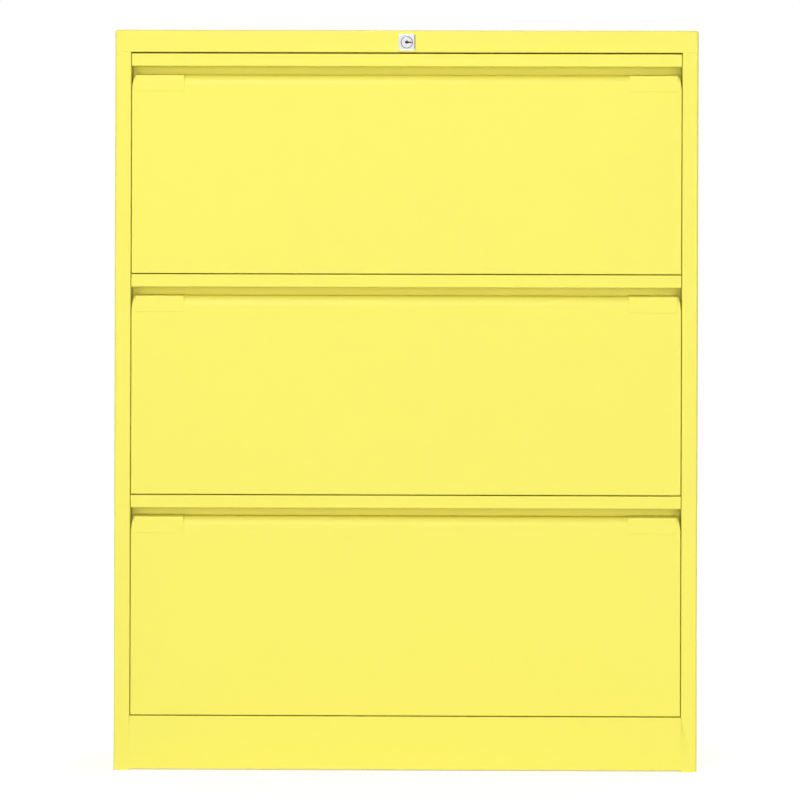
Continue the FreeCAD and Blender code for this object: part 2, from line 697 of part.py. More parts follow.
def lock_clip():
    """Horseshoe spring clip behind the fascia, pushed down into the barrel's groove."""
    leg = CLIP_FLAT + CLIP_PLAY
    arch = LOCK_Z + BARREL_RADIUS + CLIP_PLAY
    outer = leg + CLIP_LEG
    corners = [
        (-outer, LOCK_Z - CLIP_DROP), (-leg, LOCK_Z - CLIP_DROP), (-leg, arch), (leg, arch),
        (leg, LOCK_Z - CLIP_DROP), (outer, LOCK_Z - CLIP_DROP),
        (outer, arch + CLIP_BRIDGE, CLIP_LEG), (-outer, arch + CLIP_BRIDGE, CLIP_LEG),
    ]
    return prism(corners, "xz", FRONT_Y + SHEET, FRONT_Y + SHEET + CLIP_GAUGE)


def keyway():
    """Horizontal key slot, taller at its left end."""
    left = -KEYWAY_LENGTH / 2
    rear = PLUG_FACE_Y + KEYWAY_DEPTH
    slot = block(
        left, -left, PLUG_FACE_Y - SHEET, rear, LOCK_Z - KEYWAY_HEIGHT / 2, LOCK_Z + KEYWAY_HEIGHT / 2
    )
    ward = block(
        left, left + KEYWAY_WARD_LENGTH, PLUG_FACE_Y - SHEET, rear,
        LOCK_Z - KEYWAY_WARD_HEIGHT / 2, LOCK_Z + KEYWAY_WARD_HEIGHT / 2,
    )
    return slot.fuse(ward)


def lock_plug():
    """Turning plug: round face, shaft and a square tail for the cam."""
    face = cylinder_y(0, LOCK_Z, PLUG_FACE_RADIUS, PLUG_FACE_Y, PLUG_SEAT_Y)
    shaft = cylinder_y(0, LOCK_Z, PLUG_RADIUS, PLUG_SEAT_Y, CAM_Y)
    tail = prism(square(TAIL_SIDE, 0, LOCK_Z), "xz", CAM_Y, CAM_Y + CAM_GAUGE)
    return face.fuse([shaft, tail]).cut(keyway())


def lock_cam():
    """Cam on the plug's tail, with a pin that moves the link."""
    rear = CAM_Y + CAM_GAUGE
    hub = cylinder_y(0, LOCK_Z, CAM_HUB_RADIUS, CAM_Y, rear)
    tip = cylinder_y(CAM_PIN_X, CAM_PIN_Z, CAM_TIP_RADIUS, CAM_Y, rear)
    arm = prism(square(2 * CAM_TIP_RADIUS, 0, 0), "xz", CAM_Y, rear)
    arm.translate(Vector(0, 0, CAM_THROW - CAM_TIP_RADIUS))
    arm.rotate(Vector(0, 0, 0), Vector(0, 1, 0), -45)
    arm.translate(Vector(0, 0, LOCK_Z))
    pin = cylinder_y(CAM_PIN_X, CAM_PIN_Z, PIN_RADIUS, rear, LINK_Y + LINK_GAUGE + PIN_OVERHANG)
    hole = prism(square(TAIL_SIDE + 2 * PLUG_FIT, 0, LOCK_Z), "xz", CAM_Y - SHEET, rear + SHEET)
    return hub.fuse([tip, arm, pin]).cut(hole).removeSplitter()


def lock_link():
    """Flat link from the cam to the lock bar, with a fork for the cam's pin and a slanted slot for the bar's."""
    slot_half = PIN_RADIUS + SLOT_PLAY
    slot_end_x = BAR_PIN_X - LOCK_STROKE
    slot_end_z = BAR_PIN_Z - LOCK_STROKE
    plate_foot = slot_end_z - slot_half - LINK_EDGE
    plate_x = slot_end_x - slot_half - LINK_EDGE
    left = CAM_PIN_X - LINK_END
    right = BAR_PIN_X + LINK_END
    corners = [
        (left, LINK_FOOT), (plate_x, LINK_FOOT), (plate_x, plate_foot), (right, plate_foot),
        (right, LINK_HEAD), (left, LINK_HEAD),
    ]
    rear = LINK_Y + LINK_GAUGE
    plate = prism(corners, "xz", LINK_Y, rear)
    fork = block(
        CAM_PIN_X - slot_half, CAM_PIN_X + slot_half, LINK_Y - SHEET, rear + SHEET,
        CAM_PIN_Z - slot_half, LINK_HEAD + SHEET,
    )
    length = LOCK_STROKE * math.sqrt(2)
    slot = block(-length, 0, LINK_Y - SHEET, rear + SHEET, -slot_half, slot_half)
    slot.rotate(Vector(0, 0, 0), Vector(0, 1, 0), -45)
    slot.translate(Vector(BAR_PIN_X, 0, BAR_PIN_Z))
    ends = [
        cylinder_y(x, z, slot_half, LINK_Y - SHEET, rear + SHEET)
        for x, z in ((BAR_PIN_X, BAR_PIN_Z), (slot_end_x, slot_end_z))
    ]
    return plate.cut([fork, slot.fuse(ends)])


def lock_bar():
    """Upright bar with a hook for each drawer and an arm with a pin that rides in the link's slot."""
    rear = LOCK_BAR_Y + LOCK_BAR_GAUGE
    outer = LOCK_BAR_X + LOCK_BAR_WIDTH
    foot = hook_level(DRAWERS[0]) - LOCK_BAR_TAIL
    arm_foot = BAR_PIN_Z - LOCK_ARM_HEIGHT / 2
    arm_head = BAR_PIN_Z + LOCK_ARM_HEIGHT / 2
    arm_end = BAR_PIN_X - LOCK_ARM_HEIGHT / 2
    corners = [
        (LOCK_BAR_X, foot), (outer, foot), (outer, arm_head), (arm_end, arm_head),
        (arm_end, arm_foot), (LOCK_BAR_X, arm_foot),
    ]
    bar = prism(corners, "xz", LOCK_BAR_Y, rear)
    hooks = [
        block(
            LOCK_BAR_X - HOOK_REACH, LOCK_BAR_X, LOCK_BAR_Y, rear,
            hook_level(drawer), hook_level(drawer) + HOOK_HEIGHT,
        )
        for drawer in DRAWERS
    ]
    pin = cylinder_y(BAR_PIN_X, BAR_PIN_Z, PIN_RADIUS, LINK_Y - PIN_OVERHANG, LOCK_BAR_Y)
    return bar.fuse(hooks + [pin]).removeSplitter()


def link_guide(x):
    """Guide under the lid that the link slides through."""
    front = LINK_Y - GUIDE_PLAY
    rear = LINK_Y + LINK_GAUGE + GUIDE_PLAY
    body = block(
        x, x + GUIDE_LENGTH, front - GUIDE_WALL, rear + GUIDE_WALL,
        LINK_FOOT - GUIDE_PLAY - GUIDE_WALL, LID_UNDERSIDE,
    )
    window = block(
        x - SHEET, x + GUIDE_LENGTH + SHEET, front, rear, LINK_FOOT - GUIDE_PLAY, LINK_HEAD + GUIDE_PLAY
    )
    return body.cut(window)


def bar_guide(z):
    """Guide on the right-hand side wall that the lock bar slides through."""
    inner = LOCK_BAR_X - GUIDE_PLAY
    front = LOCK_BAR_Y - GUIDE_PLAY
    rear = LOCK_BAR_Y + LOCK_BAR_GAUGE + GUIDE_PLAY
    body = block(inner - GUIDE_SLIM, WALL_X, front - GUIDE_WALL, rear + GUIDE_WALL, z, z + GUIDE_LENGTH)
    window = block(
        inner, LOCK_BAR_X + LOCK_BAR_WIDTH + GUIDE_PLAY, front, rear, z - SHEET, z + GUIDE_LENGTH + SHEET
    )
    return body.cut(window)


def lock_guides():
    guides = [link_guide(x) for x in LINK_GUIDE_PLACES]
    guides += [bar_guide(hook_level(drawer) + BAR_GUIDE_RISE) for drawer in DRAWERS]
    return Part.makeCompound(guides)


def body_nodes():
    posts = runner_posts()
    brackets = [both_sides(foot_bracket(y)) for y in FOOT_YS]
    buffer = both_sides(rail_buffer())
    nodes = {
        "left_side_panel": mirrored(side_panel()),
        "right_side_panel": side_panel(),
        "top_panel": top_panel(),
        "back_panel": back_panel(),
        "plinth_panel": plinth_panel(),
        "base_panel": base_panel(),
        "left_runner_posts": mirrored(posts),
        "right_runner_posts": posts,
        "foot_brackets": Part.makeCompound(brackets),
        "rail_buffers": Part.makeCompound(
            [raised(buffer, drawer_level(drawer) + RAIL_RISE) for drawer in DRAWERS]
        ),
    }
    for depth, y in zip(("front", "rear"), FOOT_YS):
        nodes[f"levelling_foot_{depth}_left"] = levelling_foot(-FOOT_X, y)
        nodes[f"levelling_foot_{depth}_right"] = levelling_foot(FOOT_X, y)
    return nodes


def lock_nodes():
    return {
        "lock_housing": lock_housing(),
        "lock_clip": lock_clip(),
        "lock_plug": lock_plug(),
        "lock_cam": lock_cam(),
        "lock_link": lock_link(),
        "lock_bar": lock_bar(),
        "lock_guides": lock_guides(),
    }


def drawer_nodes():
    """Every drawer's pieces, made once and raised to each drawer's level."""
    pieces = {
        "front_panel": front_panel(),
        "inner_panel": inner_panel(),
        "grip_rail": grip_rail(),
        "tray": tray(),
        "tray_back": tray_back(),
        "file_bars": both_sides(file_bar()),
        "label_holders": both_sides(label_holder()),
        "lock_catch": lock_catch(),
    }
    members = {
        "outer_rails": outer_rail(),
        "outer_cages": outer_cage(),
        "middle_rails": middle_rail(),
        "inner_cages": inner_cage(),
        "inner_rails": inner_rail(),
    }
    for name, member in members.items():
        pieces[name] = both_sides(raised(member, RAIL_RISE))
    return {
        f"{drawer}_{name}": raised(piece, drawer_level(drawer))
        for drawer in DRAWERS for name, piece in pieces.items()
    }


def main():
    os.makedirs("parts", exist_ok=True)
    for name, shape in {**body_nodes(), **lock_nodes(), **drawer_nodes()}.items():
        solids = shape.Solids
        node = solids[0] if len(solids) == 1 else Part.makeCompound(solids)
        if not node.isValid():
            raise ValueError(f"{name} is not a valid solid")
        node.exportStep(f"parts/{name}.step")
        print(name, len(solids), "solids, volume", round(node.Volume / 1000, 2), "cm3")


if __name__ == "__main__":
    main()
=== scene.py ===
# %% [markdown]
# # A three-drawer side filing cabinet
#
# The cabinet is folded sheet steel with a yellow powder coat. Its construction comes in as a fixed
# frame: every panel, rail and lock piece at its real size. This lesson gives it its looks. Pieces
# with rounded forms are modelled again with smooth folds, and every surface gets a procedural
# finish.

import json
import math

import bmesh
import bpy
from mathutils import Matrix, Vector


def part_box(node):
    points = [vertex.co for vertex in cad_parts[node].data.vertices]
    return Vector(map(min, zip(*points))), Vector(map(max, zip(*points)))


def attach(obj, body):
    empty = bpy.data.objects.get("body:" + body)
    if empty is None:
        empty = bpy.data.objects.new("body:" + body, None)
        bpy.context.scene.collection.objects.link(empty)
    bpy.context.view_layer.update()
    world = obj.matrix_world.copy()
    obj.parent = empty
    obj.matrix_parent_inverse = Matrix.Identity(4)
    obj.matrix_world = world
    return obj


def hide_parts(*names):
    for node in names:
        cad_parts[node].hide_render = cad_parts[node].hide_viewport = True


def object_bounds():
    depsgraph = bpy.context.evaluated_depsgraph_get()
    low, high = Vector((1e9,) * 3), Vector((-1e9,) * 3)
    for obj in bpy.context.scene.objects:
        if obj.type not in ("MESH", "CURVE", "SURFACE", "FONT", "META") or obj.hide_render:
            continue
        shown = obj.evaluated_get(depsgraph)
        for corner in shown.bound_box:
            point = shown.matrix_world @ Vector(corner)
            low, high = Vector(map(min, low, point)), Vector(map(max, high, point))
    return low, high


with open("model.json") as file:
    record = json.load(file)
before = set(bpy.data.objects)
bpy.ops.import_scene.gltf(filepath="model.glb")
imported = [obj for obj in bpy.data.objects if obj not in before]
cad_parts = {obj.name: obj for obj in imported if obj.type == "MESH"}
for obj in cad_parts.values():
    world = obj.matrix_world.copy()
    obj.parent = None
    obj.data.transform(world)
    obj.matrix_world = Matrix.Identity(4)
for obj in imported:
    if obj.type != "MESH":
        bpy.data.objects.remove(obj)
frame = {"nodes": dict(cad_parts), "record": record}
cad_low, cad_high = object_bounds()
nodes = frame["nodes"]
DRAWERS = ("bottom", "middle", "top")
MM = 0.001
print("loaded", len(nodes), "nodes, box", tuple(cad_low), tuple(cad_high))

# %% [markdown]
# ## Working in edit mode
#
# Every operator acts on what is selected, so each step first deselects everything and then selects
# faces, edges or vertices by their place. These few helpers do that, and apply modifiers as one
# would from the menu.

# %% Selecting and applying
TOUCH = 0.01 * MM
ALONG_AXIS = 0.999
SMOOTH_BELOW = 35


def deselect_all():
    if bpy.context.mode != "OBJECT":
        bpy.ops.object.mode_set(mode="OBJECT")
    bpy.ops.object.select_all(action="DESELECT")


def activate(piece):
    deselect_all()
    piece.select_set(True)
    bpy.context.view_layer.objects.active = piece


def edit(piece):
    activate(piece)
    bpy.ops.object.mode_set(mode="EDIT")
    bpy.ops.mesh.select_all(action="DESELECT")


def near(a, b):
    return abs(a - b) < TOUCH


def anywhere(point):
    return True


def pick(piece, kind, wanted, along=None, more=False):
    """Selects each vertex, edge or face whose points all pass the test.

    The letter along keeps only the edges that run along that axis. With more, the old selection
    stays.
    """
    bpy.ops.mesh.select_mode(type=kind)
    if not more:
        bpy.ops.mesh.select_all(action="DESELECT")
    mesh = bmesh.from_edit_mesh(piece.data)
    elements = {"VERT": mesh.verts, "EDGE": mesh.edges, "FACE": mesh.faces}[kind]
    for element in elements:
        points = [element.co] if kind == "VERT" else [vertex.co for vertex in element.verts]
        fits = all(wanted(point) for point in points)
        if fits and along:
            direction = (points[1] - points[0]).normalized()
            fits = abs(direction["XYZ".index(along)]) > ALONG_AXIS
        if fits:
            element.select_set(True)
    mesh.select_flush_mode()
    bmesh.update_edit_mesh(piece.data)


def apply_modifier(piece, kind, **settings):
    activate(piece)
    modifier = piece.modifiers.new(kind.lower(), kind)
    for name, value in settings.items():
        setattr(modifier, name, value)
    bpy.ops.object.modifier_apply(modifier=modifier.name)


def smooth(piece, degrees=SMOOTH_BELOW):
    activate(piece)
    bpy.ops.object.shade_smooth_by_angle(angle=math.radians(degrees))


print("places match within", TOUCH, "m, folds below", SMOOTH_BELOW, "degrees look smooth")

# %% [markdown]
# ## Folding sheet metal
#
# A folded panel is one sheet with bends. A workshop scribes the fold lines and bends the sheet
# along them, and the model follows that: one bare edge is extruded from fold line to fold line.
# Boxes set side by side would give the same outline, but not a wall that stays even round a bend.


# %% Start a sheet from a bare edge
def settle(name):
    """Moves the place and turn of the active piece into its mesh, and names the piece."""
    bpy.ops.object.transform_apply(location=True, rotation=True, scale=True)
    piece = bpy.context.object
    piece.name = name
    return piece


def bare_edge(name, along, span, place):
    """One edge along X at a place (y, z), or along Z at a place (x, y), left over from a plane."""
    length = span[1] - span[0]
    middle = (span[0] + span[1]) / 2
    if along == "X":
        start_y = place[0]
        location = (middle, start_y + length / 2, place[1])
        turn = (0, 0, 0)
    else:
        start_y = place[1]
        location = (place[0], start_y + length / 2, middle)
        turn = (0, -math.pi / 2, 0)
    deselect_all()
    bpy.ops.mesh.primitive_plane_add(size=length, location=location, rotation=turn)
    piece = settle(name)
    edit(piece)
    pick(piece, "VERT", lambda point: point.y > start_y + length / 2)
    bpy.ops.mesh.delete(type="VERT")
    pick(piece, "EDGE", anywhere)
    return piece


def in_space(along, step):
    return (0, step[0], step[1]) if along == "X" else (step[0], step[1], 0)


def extrude_along(along, path):
    for here, there in zip(path, path[1:]):
        step = (there[0] - here[0], there[1] - here[1])
        bpy.ops.mesh.extrude_edges_move(TRANSFORM_OT_translate={"value": in_space(along, step)})


print("sheets start as an edge along X or Z")

# %% [markdown]
# The sheet now has sharp fold lines and no thickness. Its faces are turned outwards first, because
# Solidify then grows the wall inwards, and the outside keeps its size. Each fold line is bevelled
# to its bend radius before Solidify, so that the wall follows the bend.

# %% Bend it and give it its gauge
SHEET = 0.9 * MM
FOLD_RADIUS = 1.9 * MM
FOLD_STEPS = 5


def face_outwards(piece, outside):
    """Turns the faces of an unfinished sheet, so that its first face looks to the outside."""
    mesh = bmesh.from_edit_mesh(piece.data)
    mesh.normal_update()
    mesh.faces.ensure_lookup_table()
    if mesh.faces[0].normal.dot(Vector(outside)) < 0:
        bpy.ops.mesh.select_all(action="SELECT")
        bpy.ops.mesh.flip_normals()


def round_fold(piece, along, path, index, radius, test=anywhere):
    """Bevels the fold line at a corner of the path to a bend radius."""
    before = Vector(path[index]) - Vector(path[index - 1])
    after = Vector(path[index + 1]) - Vector(path[index])
    turn = before.angle(after)
    a, b = path[index]

    def on_line(point):
        u, v = (point.y, point.z) if along == "X" else (point.x, point.y)
        return near(u, a) and near(v, b) and test(point)

    pick(piece, "EDGE", on_line)
    bpy.ops.mesh.bevel(
        offset=radius * math.tan(turn / 2), segments=FOLD_STEPS, affect="EDGES",
        clamp_overlap=False)


def finish_sheet(piece, gauge):
    apply_modifier(piece, "SOLIDIFY", thickness=gauge, offset=-1, use_even_offset=True)
    smooth(piece)


print("sheet", SHEET, "m, folds", FOLD_RADIUS, "m")

# %% [markdown]
# ## Finishes
#
# Powder coat is sprayed as dry powder and melted on. It is one even colour with a fine ripple,
# called orange peel, that only shows in the highlights. The paint and the moulded plastics use the
# ripple at different scales, so it is a node group: a small noise for the height, and a broad, weak
# noise for slow changes of tone. A second group draws the fine streaks and the cloudy patches of
# plated metal. An image could do the same, but noise needs no unwrapping and has no seams.


# %% Shared surface effects
def new_group(name, inputs, outputs):
    group = bpy.data.node_groups.new(name, "ShaderNodeTree")
    for label, value in inputs.items():
        socket = group.interface.new_socket(
            label, in_out="INPUT", socket_type="NodeSocketFloat")
        socket.default_value = value
    for label in outputs:
        group.interface.new_socket(label, in_out="OUTPUT", socket_type="NodeSocketFloat")
    return group, group.nodes.new("NodeGroupInput"), group.nodes.new("NodeGroupOutput")


def noise(tree, coordinates, scale, detail):
    texture = tree.nodes.new("ShaderNodeTexNoise")
    texture.inputs["Detail"].default_value = detail
    tree.links.new(coordinates, texture.inputs["Vector"])
    tree.links.new(scale, texture.inputs["Scale"])
    return texture.outputs["Fac"]


def make_ripple_group():
    """Fine ripple and slow tone, as sprayed and moulded skins have."""
    group, source, result = new_group(
        "surface_ripple", {"Ripple Scale": 600.0, "Tone Scale": 4.0}, ("Height", "Tone"))
    place = group.nodes.new("ShaderNodeTexCoord").outputs["Object"]
    height = noise(group, place, source.outputs["Ripple Scale"], detail=2)
    tone = noise(group, place, source.outputs["Tone Scale"], detail=3)
    group.links.new(height, result.inputs["Height"])
    group.links.new(tone, result.inputs["Tone"])
    return group


STREAK_STRETCH = (1, 0.02, 1)


def make_streak_group():
    """Fine streaks along Y, as drawn or rolled steel has, and cloudy patches."""
    group, source, result = new_group(
        "drawn_streaks", {"Streak Scale": 900.0, "Cloud Scale": 30.0}, ("Streaks", "Clouds"))
    place = group.nodes.new("ShaderNodeTexCoord").outputs["Object"]
    stretch = group.nodes.new("ShaderNodeMapping")
    stretch.inputs["Scale"].default_value = STREAK_STRETCH
    group.links.new(place, stretch.inputs["Vector"])
    streaks = noise(group, stretch.outputs["Vector"], source.outputs["Streak Scale"], detail=2)
    clouds = noise(group, place, source.outputs["Cloud Scale"], detail=4)
    group.links.new(streaks, result.inputs["Streaks"])
    group.links.new(clouds, result.inputs["Clouds"])
    return group


ripple_group = make_ripple_group()
streak_group = make_streak_group()
print("node groups", [group.name for group in bpy.data.node_groups])

# %% [markdown]
# A finish is one shader fed by one of these effects. The slow noise mixes two close tones. The fine
# noise drives the roughness and the bump together, so that a highlight breaks up where the relief
# is. Each finish could have its own tree, but one builder keeps them alike and easy to compare.

# %% Finish helpers
NOISE_RANGE = (0.3, 0.7)


def scaled(tree, value, source, target):
    """Maps one range of a value to another."""
    scale = tree.nodes.new("ShaderNodeMapRange")
    scale.inputs["From Min"].default_value, scale.inputs["From Max"].default_value = source
    scale.inputs["To Min"].default_value, scale.inputs["To Max"].default_value = target
    tree.links.new(value, scale.inputs["Value"])
    return scale.outputs["Result"]


def two_tone(tree, value, first, second):
    mix = tree.nodes.new("ShaderNodeMix")
    mix.data_type = "RGBA"
    mix.inputs["A"].default_value = (*first, 1)
    mix.inputs["B"].default_value = (*second, 1)
    tree.links.new(scaled(tree, value, NOISE_RANGE, (0, 1)), mix.inputs["Factor"])
    return mix.outputs["Result"]


def new_finish(name, group, scales, tone, height, tones, rough, depth):
    """Finish whose tone, roughness and relief follow two outputs of a placed group."""
    finish = bpy.data.materials.new(name)
    finish.use_nodes = True
    tree = finish.node_tree
    shader = tree.nodes["Principled BSDF"]
    placed = tree.nodes.new("ShaderNodeGroup")
    placed.node_tree = group
    for label, value in scales.items():
        placed.inputs[label].default_value = value
    fine = placed.outputs[height]
    tree.links.new(two_tone(tree, placed.outputs[tone], *tones), shader.inputs["Base Color"])
    tree.links.new(scaled(tree, fine, NOISE_RANGE, rough), shader.inputs["Roughness"])
    bump = tree.nodes.new("ShaderNodeBump")
    bump.inputs["Distance"].default_value = depth
    tree.links.new(fine, bump.inputs["Height"])
    tree.links.new(bump.outputs["Normal"], shader.inputs["Normal"])
    return finish


def rippled_finish(name, *tones, rough, ripple, tone, depth):
    scales = {"Ripple Scale": ripple, "Tone Scale": tone}
    return new_finish(name, ripple_group, scales, "Tone", "Height", tones, rough, depth)


def metal_finish(name, *tones, rough, streak, cloud, depth):
    scales = {"Streak Scale": streak, "Cloud Scale": cloud}
    finish = new_finish(name, streak_group, scales, "Clouds", "Streaks", tones, rough, depth)
    finish.node_tree.nodes["Principled BSDF"].inputs["Metallic"].default_value = 1
    return finish


print("noise is read from", *NOISE_RANGE)

# %% [markdown]
# The paint is a pale, warm yellow. Its two tones are so close that a panel reads as one colour, and
# the label holders are moulded in the same yellow with a finer, slightly smoother skin. Zinc plate
# is cool grey with cloudy patches, chrome is nearly a mirror, and the hidden plastics and rubbers
# are close to black. Pieces that come in finished from the frame get these finishes too.

# %% Finishes of this cabinet
YELLOWS = (0.935, 0.865, 0.14), (0.943, 0.868, 0.137)
DARKS = (0.035, 0.035, 0.038), (0.055, 0.055, 0.06)
BLACKS = (0.022, 0.022, 0.022), (0.034, 0.033, 0.032)
ZINCS = (0.58, 0.6, 0.62), (0.68, 0.7, 0.72)
CHROMES = (0.86, 0.86, 0.87), (0.9, 0.9, 0.91)

powder_coat = rippled_finish(
    "powder_coat", *YELLOWS, rough=(0.42, 0.5), ripple=700, tone=3.5, depth=0.012 * MM)
label_skin = rippled_finish(
    "label_skin", *YELLOWS, rough=(0.36, 0.42), ripple=1500, tone=9, depth=0.008 * MM)
dark_plastic = rippled_finish(
    "dark_plastic", *DARKS, rough=(0.5, 0.62), ripple=1800, tone=25, depth=0.02 * MM)
# This black rubber also serves as painted shade in the keyway and round the lock's plug.
buffer_rubber = rippled_finish(
    "buffer_rubber", *BLACKS, rough=(0.72, 0.85), ripple=1200, tone=40, depth=0.03 * MM)
zinc_plate = metal_finish(
    "zinc_plate", *ZINCS, rough=(0.26, 0.4), streak=700, cloud=35, depth=0.006 * MM)
lock_chrome = metal_finish(
    "lock_chrome", *CHROMES, rough=(0.12, 0.2), streak=1600, cloud=60, depth=0.002 * MM)
slot_finish = {
    "yellow_paint": powder_coat,
    "label_plastic": label_skin,
    "dark_plastic": dark_plastic,
    "buffer_rubber": buffer_rubber,
    "zinc_plate": zinc_plate,
    "lock_chrome": lock_chrome,
}
for subpart in frame["record"]["subparts"]:
    mesh = nodes[subpart["node"]].data
    mesh.materials.clear()
    mesh.materials.append(slot_finish[subpart["material_slot"]])
print("finishes", sorted(slot_finish))

# %% [markdown]
# ## Cutting, mirroring and dressing
#
# Three jobs come back for many pieces. A Boolean joins two pieces or cuts one with the other. A
# mirror image makes the left piece from the right one, and has its normals recalculated, because a
# negative scale turns a mesh inside out. Dressing gives a finished piece its material, the body
# that it rides on and the plain nodes that it stands for.


# %% Cut, mirror and dress
def combine(piece, other, operation):
    apply_modifier(piece, "BOOLEAN", object=other, operation=operation, solver="EXACT")
    bpy.data.objects.remove(other)


def recalculate_normals():
    bpy.ops.mesh.select_all(action="SELECT")
    bpy.ops.mesh.normals_make_consistent(inside=False)


def mirror_of(piece, name):
    """Copy on the other side of the cabinet, with its faces turned outwards again."""
    activate(piece)
    bpy.ops.object.duplicate(linked=False)
    bpy.ops.transform.resize(value=(-1, 1, 1), center_override=(0, 0, 0))
    twin = settle(name)
    edit(twin)
    recalculate_normals()
    deselect_all()
    return twin


def dress(piece, finish, body, slot, *replaced):
    """Gives a piece its finish, its body and the nodes that it stands for.

    Weighted normals keep the flat faces beside a small bevel flat in the light.
    """
    apply_modifier(piece, "WEIGHTED_NORMAL", keep_sharp=True)
    piece.data.materials.clear()
    piece.data.materials.append(finish)
    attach(piece, body)
    if replaced:
        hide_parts(*replaced)
    print(piece.name, len(piece.data.polygons), "faces")


# %% [markdown]
# ## Side panels
#
# A side is one sheet: the leg beside the drawers, the stile that faces forward, the side wall and a
# flange at the back. The outer corners are rounded more than the inner fold. The inner fold stops
# at the plinth, where the stile is welded and dressed flush, and a short diagonal slit relieves the
# corner. A bisect at the plinth's height lets the fold be bevelled above it alone.

# %% Model the right side panel and mirror it
side_low, side_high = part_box("right_side_panel")
plinth_low, plinth_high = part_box("plinth_panel")
EDGE_ROUND = 3.5 * MM
STILE_LEG = 20 * MM
REAR_FLANGE = 20 * MM
SLIT_LENGTH = 3.5 * MM
SLIT_WIDTH = 0.8 * MM

side_path = [
    (side_low.x, side_low.y + STILE_LEG),
    (side_low.x, side_low.y),
    (side_high.x, side_low.y),
    (side_high.x, side_high.y),
    (side_high.x - REAR_FLANGE, side_high.y),
]
right_side = bare_edge("right_side", "Z", (side_low.z, side_high.z), side_path[0])
extrude_along("Z", side_path)
face_outwards(right_side, (-1, 0, 0))
bpy.ops.mesh.select_all(action="SELECT")
bpy.ops.mesh.bisect(plane_co=(0, 0, plinth_high.z), plane_no=(0, 0, 1))
round_fold(
    right_side, "Z", side_path, 1, FOLD_RADIUS, lambda point: point.z > plinth_high.z - TOUCH)
for corner in (2, 3):
    round_fold(right_side, "Z", side_path, corner, EDGE_ROUND)
finish_sheet(right_side, SHEET)
deselect_all()
# The cutter is centred on the corner, so one half of its length cuts the sheet.
bpy.ops.mesh.primitive_cube_add(
    size=1, location=(side_low.x, side_low.y, plinth_high.z), rotation=(0, math.pi / 4, 0),
    scale=(2 * SLIT_LENGTH, 4 * SHEET, SLIT_WIDTH))
combine(right_side, bpy.context.object, "DIFFERENCE")
smooth(right_side)
left_side = mirror_of(right_side, "left_side")
dress(right_side, powder_coat, "carcass", "yellow_paint", "right_side_panel")
dress(left_side, powder_coat, "carcass", "yellow_paint", "left_side_panel")

# %% [markdown]
# ## Plinth
#
# The plinth closes the body below the drawers. It is a shallow channel with its flanges turned
# back, and its front is flush with the stiles. A flat box would do from the front, but the channel
# is folded as the sides are, so that it has the same soft edges and an open back.

# %% Model the plinth
plinth_path = [
    (plinth_high.y, plinth_high.z),
    (plinth_low.y, plinth_high.z),
    (plinth_low.y, plinth_low.z),
    (plinth_high.y, plinth_low.z),
]
plinth = bare_edge("plinth", "X", (plinth_low.x, plinth_high.x), plinth_path[0])
extrude_along("X", plinth_path)
face_outwards(plinth, (0, 0, 1))
for corner in (1, 2):
    round_fold(plinth, "X", plinth_path, corner, FOLD_RADIUS)
finish_sheet(plinth, SHEET)
dress(plinth, powder_coat, "carcass", "yellow_paint", "plinth_panel")

# %% [markdown]
# ## Lid
#
# The lid is a tray turned upside down, with rounded top edges and corners, and flanges turned in
# below. Folding it from one edge would leave its corners open, so a cube is the quicker start: its
# upper and upright edges are bevelled and its underside is opened. Then the straight lower edges
# are extruded inwards and drawn in at their ends, and Solidify makes it a sheet. A small round
# along the lower folds leaves the fine seam that shows above the stiles.

# %% Start from a box or a round bar
BAR_SIDES = 64


def new_box(name, low, high):
    deselect_all()
    middle = [(a + b) / 2 for a, b in zip(low, high)]
    size = [b - a for a, b in zip(low, high)]
    bpy.ops.mesh.primitive_cube_add(size=1, location=middle, scale=size)
    return settle(name)


def new_round_bar(name, radius, start, end, sides=BAR_SIDES):
    """Round bar between two points, along X, Y or Z."""
    deselect_all()
    axis = Vector(end) - Vector(start)
    middle = (Vector(start) + Vector(end)) / 2
    turn = Vector((0, 0, 1)).rotation_difference(axis).to_euler()
    bpy.ops.mesh.primitive_cylinder_add(
        vertices=sides, radius=radius, depth=axis.length, location=middle, rotation=turn)
    return settle(name)


print("round bars have", BAR_SIDES, "sides")

# %% Model the lid
lid_low, lid_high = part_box("top_panel")
LID_SIDE_RETURN = 7 * MM
LID_FRONT_RETURN = 20 * MM
LID_REAR_RETURN = 12 * MM
LID_MITRE = 8 * MM
LID_EDGE_STEPS = 6
LID_SEAM_ROUND = 0.9 * MM
LID_SEAM_STEPS = 3
LID_FLANGES = (
    ("X", lid_low.x, LID_SIDE_RETURN, lid_high.y),
    ("X", lid_high.x, LID_SIDE_RETURN, lid_high.y),
    ("Y", lid_low.y, LID_FRONT_RETURN, lid_high.x),
    ("Y", lid_high.y, LID_REAR_RETURN, lid_high.x),
)


def lid_fold(axis, place, more=False):
    """Selects the straight lower edge of the lid at a place on an axis."""
    index = "XY".index(axis)

    def on_fold(point):
        return near(point.z, lid_low.z) and near(point[index], place)

    pick(lid, "EDGE", on_fold, "YX"[index], more)


def lid_flange(axis, place, reach, half_length):
    lid_fold(axis, place)
    index = "XY".index(axis)
    step = [0, 0, 0]
    step[index] = -math.copysign(reach, place)
    bpy.ops.mesh.extrude_edges_move(TRANSFORM_OT_translate={"value": step})
    share = [1, 1, 1]
    share[1 - index] = 1 - LID_MITRE / half_length
    bpy.ops.transform.resize(value=share, center_override=(0, 0, lid_low.z))


